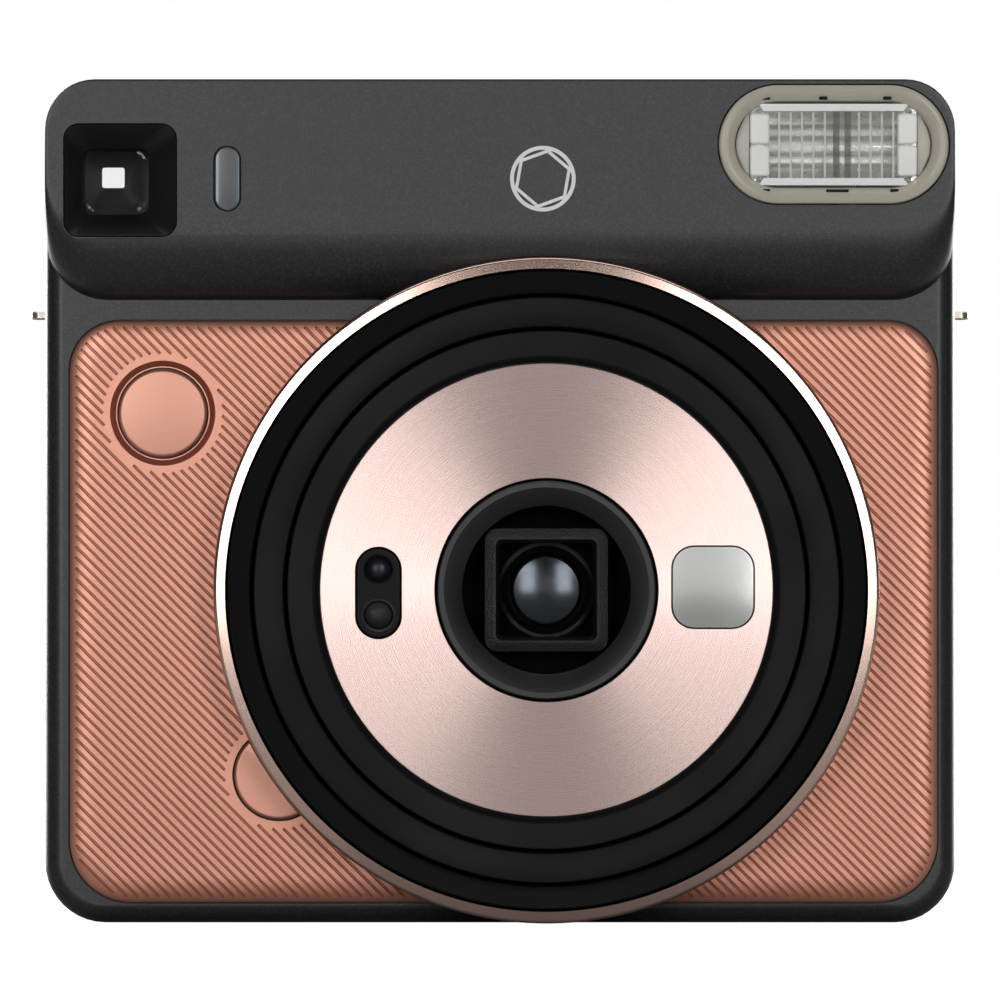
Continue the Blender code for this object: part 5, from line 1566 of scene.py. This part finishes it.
for side, name in ((-1, "left"), (1, "right")):
    low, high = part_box("strap_lug_" + name)
    inner, outer_end = (low.x, high.x) if side > 0 else (high.x, low.x)
    middle_y = (low.y + high.y) / 2
    half_v = (high.y - low.y) / 2
    lug_loops = []
    for inset, level in (
        (0.00015, low.z),
        (0.0, low.z + 0.00015),
        (0.0, high.z - 0.00015),
        (0.00015, high.z),
    ):
        outline = rounded(
            ((inner + outer_end) / 2, middle_y),
            (abs(outer_end - inner) / 2 - inset, half_v - inset),
            0.0012,
            steps=8,
        )
        lug_loops.append(at_level(outline, level, "Z"))
    lug = skin("strap_lug_steel_" + name, lug_loops, stainless)
    eye = rounded((side * (HALF_WIDTH + 0.0015), middle_y), (0.0008, 0.0024), 0.00075, steps=8)
    carve(lug, [plug(eye, low.z - 0.001, high.z + 0.001, "Z")])
    settle(lug)
    finish_piece(lug, "camera_body", "steel", "strap_lug_" + name)

# ---- Rear cover
# The other half of the shell, the same ABS and paint; it carries the door's hinge ears. Its openings take
# the eyepiece, the mode button, the counter, the battery door and the film slot.
back_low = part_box("rear_cover")[0]
door_low, door_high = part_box("film_door")
eyepiece_centre, eyepiece_size = box_of("eyepiece_frame")
mode_centre, mode_size = box_of("mode_button")
counter_centre, counter_size = box_of("counter_window")
socket_low, socket_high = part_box("tripod_socket")
pin_low, pin_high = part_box("hinge_pin")
hatch_low, hatch_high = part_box("battery_door")
REAR_FACE = 0.0254
REAR_EDGE = 0.004
HINGE = ((pin_low.x + pin_high.x) / 2, (pin_low.y + pin_high.y) / 2)
KNUCKLE_R = 0.0016
LAMP_STRIP = (mode_centre[0] - 0.0068, mode_centre[1])
LAMP_STRIP_SIZE = (0.0022, 0.012)
rear_shell = skin("rear_cover_shell", shell_loops(REAR_FACE, back_low.y, REAR_EDGE), graphite)


def post(centre, radius, low, high, steps=48):
    """An upright round bar."""
    return plug(ring_points(centre, radius, steps), low, high, "Z")


def block(low, high):
    """A box between two corners, used as a cutter or joined on."""
    middle_of = ((low[0] + high[0]) / 2, (low[2] + high[2]) / 2)
    half = ((high[0] - low[0]) / 2, (high[2] - low[2]) / 2)
    corners = [
        (
            middle_of[0] + su * half[0],
            middle_of[1] + sv * half[1],
        ) for su, sv in ((-1, -1), (1, -1), (1, 1), (-1, 1))
    ]
    return plug(corners, low[1], high[1])


ears = []
for low in (door_low.z + 0.002, door_high.z - 0.008):
    ears.append(
        block((HINGE[0] - KNUCKLE_R, REAR_FACE - 0.001, low), (HINGE[0] + KNUCKLE_R, HINGE[1], low + 0.006))
    )
    ears.append(post(HINGE, KNUCKLE_R, low, low + 0.006))
carve(rear_shell, ears, "UNION")
PACK = ((-0.0325, 0.006), (0.0455, 0.100))
slot_centre_y, slot_half = 0.0109, (0.038, 0.0023)
carve(
    rear_shell,
    [
        plug(room, back_low.y - 0.002, REAR_FACE - WALL),
        block(
            (PACK[0][0], REAR_FACE - WALL - 0.001, PACK[0][1]),
            (PACK[1][0], REAR_FACE + 0.001, PACK[1][1]),
        ),
        post(HINGE, 0.00095, door_low.z, door_high.z),
        plug(
            rounded(eyepiece_centre, (eyepiece_size[0] / 2 + SEAM * 0.8,) * 2, 0.0022),
            REAR_FACE - WALL - 0.001,
            REAR_FACE + 0.001,
        ),
        plug(
            ring_points(mode_centre, mode_size[0] / 2 + SEAM * 0.8, 64),
            REAR_FACE - WALL - 0.001,
            REAR_FACE + 0.001,
        ),
        plug(
            racetrack(LAMP_STRIP, LAMP_STRIP_SIZE, SEAM * 0.8),
            REAR_FACE - WALL - 0.001,
            REAR_FACE + 0.001,
        ),
        plug(
            rounded(
                counter_centre,
                (counter_size[0] / 2 + SEAM * 0.8, counter_size[1] / 2 + SEAM * 0.8),
                0.001,
            ),
            REAR_FACE - WALL - 0.001,
            REAR_FACE + 0.001,
        ),
        block(
            (LENS[0] - slot_half[0], slot_centre_y - slot_half[1], HEIGHT - WALL - 0.001),
            (LENS[0] + slot_half[0], slot_centre_y + slot_half[1], HEIGHT + 0.001),
        ),
        block(
            (hatch_low.x - 0.0004, hatch_low.y - 0.0003, -0.001),
            (hatch_high.x + 0.0003, hatch_high.y + 0.0003, WALL + 0.001),
        ),
        post(
            ((socket_low.x + socket_high.x) / 2, (socket_low.y + socket_high.y) / 2),
            (socket_high.x - socket_low.x) / 2 + SEAM,
            -0.001,
            WALL + 0.001,
        ),
    ],
)
for node in ("flash_button", "timer_button"):
    low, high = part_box(node)
    hole = racetrack(
        ((low.x + high.x) / 2, (low.y + high.y) / 2),
        (high.x - low.x, high.y - low.y),
        SEAM * 0.8,
    )
    carve(rear_shell, [plug(hole, HEIGHT - WALL - 0.001, HEIGHT + 0.001, "Z")])
for name in ("left", "right"):
    low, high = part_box("strap_lug_" + name)
    side = -1 if name == "left" else 1
    ends = sorted((side * (HALF_WIDTH - WALL - 0.001), side * (HALF_WIDTH + 0.001)))
    carve(
        rear_shell,
        [
            block(
                (ends[0], low.y - SEAM * 0.8, low.z - SEAM * 0.8),
                (ends[1], high.y + SEAM * 0.8, high.z + SEAM * 0.8),
            )
        ],
    )
soften(rear_shell, 0.00016)
finish_piece(rear_shell, "camera_body", "graphite_cover", "rear_cover")

# ---- Film door
# The hinged back: painted like the shell, with a leather-like moulded grain, a grip rib beside the latch
# and a smoked window over the film. Two blackened leaf springs inside press on the film pack.
DOOR_FACE = 0.02905
door_centre = ((door_low.x + 0.0564) / 2, (door_low.z + door_high.z) / 2)
door_half = ((0.0564 - door_low.x) / 2, (door_high.z - door_low.z) / 2)
DOOR_CORNER = 0.005
grained = satin_paint("graphite_paint_on_grained_abs", "#232527", "#44474a", 0.52, 0.1, 0.00018, 0.2)
tree = grained.node_tree
place = tree.nodes["Texture Coordinate"].outputs["Object"]
# the grain is a mould etching of 0.8 mm cells, 0.05 mm deep
cells = add_node(
    tree,
    "ShaderNodeTexVoronoi",
    {"Scale": 1 / 0.0008},
    {"Vector": place},
    feature="DISTANCE_TO_EDGE",
)
furrow = add_node(tree, "ShaderNodeMapRange", {"From Max": 0.12}, {"Value": cells.outputs["Distance"]})
etched = add_node(
    tree,
    "ShaderNodeBump",
    {"Strength": 0.35, "Distance": 0.00005},
    {"Height": furrow.outputs[0]},
)
tree.links.new(etched.outputs["Normal"], tree.nodes["Principled BSDF"].inputs["Normal"])
door_loops = [at_level(rounded(door_centre, door_half, DOOR_CORNER), door_low.y + 0.0001)]
for i in range(9):
    turn = math.pi / 2 * i / 8
    inset = 0.0014 * (1 - math.cos(turn))
    level = DOOR_FACE - 0.0012 * (1 - math.sin(turn))
    door_loops.append(
        at_level(
            rounded(door_centre, (door_half[0] - inset, door_half[1] - inset), DOOR_CORNER - inset), level
        )
    )
door = skin("film_door_grained", door_loops, grained)
knuckle_low, knuckle_high = 0.0128, 0.0932
carve(
    door,
    [
        block(
            (0.0552, HINGE[1] - 0.0009, knuckle_low),
            (HINGE[0] - 0.0004, HINGE[1] + 0.0009, knuckle_high),
        ),
        post(HINGE, KNUCKLE_R, knuckle_low, knuckle_high),
    ],
    "UNION",
)
latch_low, latch_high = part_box("door_latch")
latch_centre, latch_size = box_of("door_latch")
LATCH_TRAVEL = 0.004
pane_centre, pane_size = box_of("film_window")
door_cuts = [
    post(HINGE, 0.00095, knuckle_low - 0.001, knuckle_high + 0.001),
    block((latch_centre[0] + 0.006, door_low.y - 0.001, 0.007), (0.0445, DOOR_FACE - 0.00175, 0.099)),
    plug(
        rounded(
            (latch_centre[0], latch_centre[1] + LATCH_TRAVEL / 2),
            (latch_size[0] / 2 + SEAM, latch_size[1] / 2 + LATCH_TRAVEL / 2 + SEAM),
            0.0012,
        ),
        latch_low.y - SEAM,
        DOOR_FACE + 0.001,
    ),
    plug(
        rounded(pane_centre, (pane_size[0] / 2 + SEAM, pane_size[1] / 2 + SEAM), 0.0015),
        door_low.y - 0.001,
        DOOR_FACE + 0.001,
    ),
]
# a shallow frame line runs round the door, and three cuts part the hinge into four knuckles
inner_frame = skin(
    "cutter",
    [
        at_level(rounded(door_centre, (door_half[0] - r, door_half[1] - r), DOOR_CORNER), level)
        for r, level in (
            (0.0030, DOOR_FACE + 0.001),
            (0.0030, DOOR_FACE - 0.0003),
            (0.0036, DOOR_FACE - 0.0003),
            (0.0036, DOOR_FACE + 0.001),
        )
    ],
    graphite,
    ends=False,
)
door_cuts.append(inner_frame)
for i in range(1, 4):
    z = knuckle_low + (knuckle_high - knuckle_low) * i / 4
    door_cuts.append(block(
        (HINGE[0] - 0.0003, HINGE[1] - 0.002, z - 0.00012),
        (HINGE[0] + 0.002, HINGE[1] + 0.002, z + 0.00012),
    ))
carve(door, door_cuts)
soften(door, 0.0001)
finish_piece(door, "film_door", "graphite_cover", "film_door")
smoked_pane = clear_part("smoked_polycarbonate_window", "#15181a", 0.82, 0.08)
pane_low, pane_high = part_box("film_window")
door_pane = soften(
    skin(
        "film_window_smoked",
        [
            at_level(rounded(pane_centre, (pane_size[0] / 2, pane_size[1] / 2), 0.0012), level)
            for level in (pane_low.y, pane_high.y)
        ],
        smoked_pane,
    ),
    0.0002,
)
finish_piece(door_pane, "film_door", "clear_plastic", "film_window")

# ---- Door latch
# A black slider in a pocket of the door: seven grooves for the finger, and it moves up to open.
latch_black = moulded_plastic("black_abs_latch", "#141517", 0.45, 0.0003)
RIDGE_PITCH = 0.0016
latch = skin(
    "door_latch_ridged",
    [
        at_level(rounded(latch_centre, (latch_size[0] / 2, latch_size[1] / 2), 0.001), level)
        for level in (latch_low.y, latch_high.y)
    ],
    latch_black,
)
grooves = []
for i in range(-3, 4):
    z = latch_centre[1] + i * RIDGE_PITCH
    grooves.append(
        block(
            (latch_centre[0] - 0.0021, latch_high.y - 0.00045, z - 0.0004),
            (latch_centre[0] + 0.0021, latch_high.y + 0.001, z + 0.0004),
        )
    )
carve(latch, grooves)
soften(latch, 0.00015)
finish_piece(latch, "door_latch", "black_plastic", "door_latch")

# ---- Eyepiece
# A soft black rubber cup pushed on the tube's end, with a small coated lens inside.
rubber = moulded_plastic("black_tpe_eyecup", "#161617", 0.7, 0.0004, 0.3, 0.00003)
cup_low, cup_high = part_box("eyepiece_frame")
cup_half = eyepiece_size[0] / 2
cup_loops = [
    at_level(rounded(EYE, (half, half), radius), level)
    for half, radius, level in (
        (cup_half, 0.002, cup_low.y),
        (cup_half, 0.002, cup_high.y - 0.0006),
        (cup_half - 0.0002, 0.0019, cup_high.y - 0.0002),
        (cup_half - 0.0006, 0.0017, cup_high.y),
        (cup_half - 0.001, 0.0015, cup_high.y),
        (cup_half - 0.0013, 0.0014, cup_high.y - 0.0003),
        (EYE_HALF, 0.0012, cup_high.y - 0.0025),
        (EYE_HALF, 0.0012, cup_low.y),
    )
]
cup = skin("eyepiece_cup_rubber", cup_loops, rubber, ends=False, smooth_below=40)
finish_piece(cup, "camera_body", "black_plastic", "eyepiece_frame")
eye_low, eye_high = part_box("eyepiece_lens")
eye_half = (eye_high.x - eye_low.x) / 2
eye_loops = [at_level(filled(rounded(EYE, (eye_half, eye_half), 0.0015), 0.0004), eye_low.y)]
eye_loops += domed(EYE, eye_half, 0.0015, (1.0, 0.85, 0.65, 0.4, 0.15), eye_high.y, 0.0004, -1)
eye_lens = skin("eyepiece_lens_acrylic", eye_loops, finder_acrylic, smooth_below=50)
finish_piece(eye_lens, "camera_body", "coated_glass", "eyepiece_lens")

# ---- Mode button and its lamps
# A black key with a dished face, and a smoked strip beside it for the mode lamps, with a dot for each mode.
mode_low, mode_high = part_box("mode_button")
MODE_R = mode_size[0] / 2
mode_profile = [(0.0, mode_low.y), (MODE_R, mode_low.y), (MODE_R, mode_high.y - 0.0003)]
mode_profile += [(MODE_R - 0.0001, mode_high.y - 0.0001), (MODE_R - 0.0003, mode_high.y)]
for i in range(1, 7):
    mode_profile.append(((MODE_R - 0.0003) * (1 - i / 6), mode_high.y - 0.00025 * (1 - (1 - i / 6) ** 2)))
mode_key = turned("mode_button_dished", mode_profile, latch_black, mode_centre, 96)
finish_piece(mode_key, "mode_button", "black_plastic", "mode_button")
strip = soften(
    skin(
        "mode_lamp_strip",
        [at_level(
            racetrack(LAMP_STRIP, LAMP_STRIP_SIZE),
            level,
        ) for level in (REAR_FACE - 0.0015, REAR_FACE - 0.0001)],
        lamp_smoke,
    ),
    0.00015,
)
finish_piece(strip, "camera_body", "clear_plastic")
for i in range(5):
    dot = disc(
        f"mode_mark_{i}",
        (LAMP_STRIP[0] + 0.0024, LAMP_STRIP[1] + (i - 2) * 0.0023),
        0.00035,
        REAR_FACE,
    )
    finish_piece(dot, "camera_body", "white_plastic")

# ---- Film counter
# A printed white wheel turns behind a small clear window and shows how many sheets are left.
wheel_low, wheel_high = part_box("counter_wheel")
WHEEL = ((wheel_low.x + wheel_high.x) / 2, (wheel_low.z + wheel_high.z) / 2)
wheel_white = moulded_plastic("white_abs_printed_wheel", "#e4e1da", 0.5, 0.0003, 0.05)
WHEEL_R = wheel_high.x - WHEEL[0]
WHEEL_FACE = 0.0226
wheel_profile = [
    (0.0, wheel_low.y),
    (0.0012, wheel_low.y),
    (0.0012, WHEEL_FACE - 0.001),
    (WHEEL_R - 0.0001, WHEEL_FACE - 0.001),
    (WHEEL_R, WHEEL_FACE - 0.0009),
    (WHEEL_R, WHEEL_FACE - 0.0001),
    (WHEEL_R - 0.0001, WHEEL_FACE),
    (0.0012, WHEEL_FACE),
    (0.0012, wheel_high.y),
    (0.0, wheel_high.y),
]
wheel = turned("counter_wheel_white", wheel_profile, wheel_white, WHEEL, 96)
finish_piece(wheel, "counter_wheel", "white_plastic", "counter_wheel")
dark_ink, tree, shader, place = new_material("black_pad_print_ink")
speck = add_node(tree, "ShaderNodeTexNoise", {"Scale": 1500.0, "Detail": 2.0}, {"Vector": place})
rough = add_node(
    tree,
    "ShaderNodeMapRange",
    {"To Min": 0.4, "To Max": 0.6},
    {"Value": speck.outputs["Fac"]},
)
tree.links.new(rough.outputs[0], shader.inputs["Roughness"])
set_shader(shader, Base_Color=srgb("#161616"))
for i in range(11):
    turn = math.pi / 2 - 2 * math.pi * i / 12
    text = bpy.data.curves.new(f"counter_digit_{i}", "FONT")
    text.body = str(i)
    text.size = 0.0028
    text.extrude = 0.00002
    text.align_x = "CENTER"
    text.align_y = "CENTER"
    digit = add_object(f"counter_digit_{i}", text)
    text.materials.append(dark_ink)
    reach_r = counter_centre[1] - WHEEL[1]
    digit.location = (
        WHEEL[0] + reach_r * math.cos(turn),
        WHEEL_FACE + 0.00003,
        WHEEL[1] + reach_r * math.sin(turn),
    )
    facing_back = Matrix.Rotation(math.pi, 4, "Z") @ Matrix.Rotation(math.pi / 2, 4, "X")
    digit.rotation_euler = (facing_back @ Matrix.Rotation(math.pi / 2 - turn, 4, "Z")).to_euler()
    finish_piece(digit, "counter_wheel", "black_plastic")
glass_pane = clear_part("clear_acrylic_counter_window", "#c9cdca", 0.12, 0.04)
cw_low, cw_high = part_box("counter_window")
counter_pane = soften(
    skin(
        "counter_window_acrylic",
        [
            at_level(rounded(counter_centre, (counter_size[0] / 2, counter_size[1] / 2), 0.0007), level)
            for level in (cw_low.y, cw_high.y)
        ],
        glass_pane,
    ),
    0.0002,
)
finish_piece(counter_pane, "camera_body", "clear_plastic", "counter_window")

# ---- Battery door
# A painted hatch in the base on a short hinge, with four grip grooves.
hatch_centre = ((hatch_low.x + hatch_high.x) / 2 + 0.001, (hatch_low.y + hatch_high.y) / 2)
hatch = skin(
    "battery_door_shell",
    [
        at_level(
            rounded(
                ((-0.0582 - 0.0418) / 2, hatch_centre[1]),
                (0.0082 - inset, (hatch_high.y - hatch_low.y) / 2 - inset),
                0.0008,
            ),
            level,
            "Z",
        )
        for inset, level in ((0.0002, 0.0003), (0.0, 0.0005), (0.0, 0.0019))
    ],
    graphite,
)
bar_y = (hatch_low.y, hatch_high.y)
carve(
    hatch,
    [
        plug(ring_points((-0.0594, 0.0012), 0.0008, 32), bar_y[0], bar_y[1]),
        block((-0.0594, bar_y[0] + 0.002, 0.0006), (-0.0577, bar_y[1] - 0.002, 0.0018)),
    ],
    "UNION",
)
hatch_grooves = []
for i in range(4):
    x = -0.0436 - i * 0.0012
    hatch_grooves.append(
        block((x - 0.0003, bar_y[0] + 0.004, -0.001), (x + 0.0003, bar_y[1] - 0.004, 0.0006)),
    )
carve(hatch, hatch_grooves)
soften(hatch, 0.00008)
finish_piece(hatch, "battery_door", "graphite_cover", "battery_door")

# ---- Tripod socket
# A turned brass bush with the usual quarter-inch thread, 20 turns to the inch, nickel plated.
THREAD_PITCH = 0.00127
nickel = brushed_metal(
    "nickel_plated_brass", "#b9b3a4", 0.26, 0.0, 0.00012, ((socket_low.x + socket_high.x) / 2, 0.05)
)
socket_centre = ((socket_low.x + socket_high.x) / 2, (socket_low.y + socket_high.y) / 2)
SOCKET_R = (socket_high.x - socket_low.x) / 2
bore_profile = [(0.0, socket_high.z), (SOCKET_R, socket_high.z), (SOCKET_R, socket_low.z + 0.0002)]
bore_profile += [(SOCKET_R - 0.0002, socket_low.z), (0.0036, socket_low.z), (0.0032, socket_low.z + 0.0004)]
for i in range(1, 12):
    bore_profile.append((0.0032 if i % 2 else 0.0027, socket_low.z + 0.0004 + i * THREAD_PITCH / 2))
bore_profile += [(0.0026, socket_low.z + 0.0082), (0.0, socket_low.z + 0.0082)]
socket = skin(
    "tripod_socket_nickel",
    [at_level(ring_points(socket_centre, max(r, 1e-7), 64), level, "Z") for r, level in bore_profile],
    nickel,
)
finish_piece(socket, "camera_body", "steel", "tripod_socket")

# ---- Film exit lip
# A black rubbed seal lines the slot in the top, where the print comes out between the rollers.
seal_black = moulded_plastic("black_nylon_seal", "#131314", 0.8, 0.00015, 0.5, 0.00005)
SLOT_TOP = HEIGHT - 0.0002
for side in (-1, 1):
    inner_y = slot_centre_y + side * (slot_half[1] - 0.0009)
    outer_y = slot_centre_y + side * (slot_half[1] - 0.0001)
    ends = sorted((inner_y, outer_y))
    seal = soften(
        block((LENS[0] - 0.0378, ends[0], HEIGHT - 0.0014), (LENS[0] + 0.0378, ends[1], SLOT_TOP)),
        0.0002,
    )
    seal.name = "exit_seal_" + ("front" if side < 0 else "rear")
    seal.data.materials.clear()
    seal.data.materials.append(seal_black)
    finish_piece(seal, "camera_body", "black_plastic")

# ---- Screws
# Four blackened steel cross-head screws, 2.4 mm across, in the rear cover.
screw_steel = brushed_metal("blackened_steel_screw", "#3a3a3b", 0.4, 0.0, 0.00015, (0.0, 0.0))
SCREW_R = 0.0012
for i, (x, z) in enumerate(((-0.0585, 0.0245), (-0.0585, 0.0605), (0.0595, 0.1085), (0.0, 0.1105))):
    screw = turned(
        f"cover_screw_{i}",
        [
            (0.0, REAR_FACE + 0.00012),
            (SCREW_R - 0.0002, REAR_FACE + 0.0001),
            (SCREW_R, REAR_FACE - 0.00005),
            (SCREW_R, REAR_FACE - 0.0006),
            (0.0, REAR_FACE - 0.0006),
        ],
        screw_steel,
        (x, z),
        48,
    )
    carve(
        screw,
        [
            block(
                (x - 0.0007, REAR_FACE - 0.0004, z - 0.00013),
                (x + 0.0007, REAR_FACE + 0.001, z + 0.00013),
            ),
            block(
                (x - 0.00013, REAR_FACE - 0.0004, z - 0.0007),
                (x + 0.00013, REAR_FACE + 0.001, z + 0.0007),
            ),
        ],
    )
    settle(screw)
    finish_piece(screw, "camera_body", "steel")

# ---- Shutter
# Behind the lens: a moulded housing, a black steel plate, two crossed blades on pivots and the rear lens.
blade_steel, tree, shader, place = new_material("blackened_spring_steel")
rolled = add_node(tree, "ShaderNodeMapping", {"Scale": (3000.0, 3000.0, 60.0)}, {"Vector": place})
lines = add_node(tree, "ShaderNodeTexNoise", {"Scale": 1.0, "Detail": 2.0}, {"Vector": rolled.outputs[0]})
rough = add_node(
    tree,
    "ShaderNodeMapRange",
    {"To Min": 0.34, "To Max": 0.5},
    {"Value": lines.outputs["Fac"]},
)
tree.links.new(rough.outputs[0], shader.inputs["Roughness"])
set_shader(shader, Base_Color=srgb("#2b2b2d"), Metallic=1.0)


def dress(look, *names):
    """Gives frame nodes that stay in sight their material."""
    for name in names:
        for slot_of in nodes[name].material_slots:
            slot_of.material = look
        if not nodes[name].material_slots:
            nodes[name].data.materials.append(look)


dress(
    blade_steel,
    "shutter_blade_left",
    "shutter_blade_right",
    "shutter_plate",
    "pack_spring_low",
    "pack_spring_high",
)
dress(
    moulded_plastic("black_abs_inner_parts", "#17181a", 0.5),
    "shutter_housing",
    "dark_box",
    "battery_holder",
)
dress(coated("green_coated_glass", "#0d1512", "#39503f"), "rear_lens")

# ---- Film drive
# Ground steel rollers squeeze the print as it leaves; white acetal gears turn them from a small can motor,
# and a spring-steel claw pushes the print up to them.
def round_the_bar(name, hex_colour, roughness):
    """Ground steel bar lying along X: fine rings round it."""
    made, tree, shader, place = new_material(name)
    spread = add_node(tree, "ShaderNodeMapping", {"Scale": (5000.0, 50.0, 50.0)}, {"Vector": place})
    rings = add_node(
        tree,
        "ShaderNodeTexNoise",
        {"Scale": 1.0, "Detail": 2.0},
        {"Vector": spread.outputs[0]},
    )
    rough = add_node(
        tree,
        "ShaderNodeMapRange",
        {"To Min": roughness - 0.06, "To Max": roughness + 0.08},
        {"Value": rings.outputs["Fac"]},
    )
    tree.links.new(rough.outputs[0], shader.inputs["Roughness"])
    set_shader(shader, Base_Color=srgb(hex_colour), Metallic=1.0)
    return made


dress(round_the_bar("ground_steel_rollers", "#c3c1bc", 0.24), "drive_roller", "pinch_roller", "hinge_pin")
dress(moulded_plastic("white_acetal_gears", "#dedbd2", 0.42, 0.0004, 0.05), "drive_gear", "motor_pinion")
dress(round_the_bar("zinc_plated_motor_can", "#a9adb0", 0.34), "drive_motor")
dress(stainless, "film_claw")

# ---- Power and electronics
# Two lithium cells in printed sleeves, the flash capacitor in its shrink sleeve, and a green circuit board.
dress(
    moulded_plastic("printed_grey_battery_sleeve", "#7c8a92", 0.35, 0.0005, 0.04),
    "battery_lower",
    "battery_upper",
)
dress(moulded_plastic("black_pvc_shrink_sleeve", "#202226", 0.35, 0.0005, 0.04), "flash_capacitor")
board_green, tree, shader, place = new_material("solder_mask_green_board")
fibre = add_node(tree, "ShaderNodeTexBrick", {"Scale": 1 / 0.003, "Mortar Size": 0.03}, {"Vector": place})
fibre.inputs["Color1"].default_value = srgb("#1f5a35")
fibre.inputs["Color2"].default_value = srgb("#23613a")
fibre.inputs["Mortar"].default_value = srgb("#2f7a4a")
tree.links.new(fibre.outputs["Color"], shader.inputs["Base Color"])
set_shader(shader, Roughness=0.35)
dress(board_green, "circuit_board")
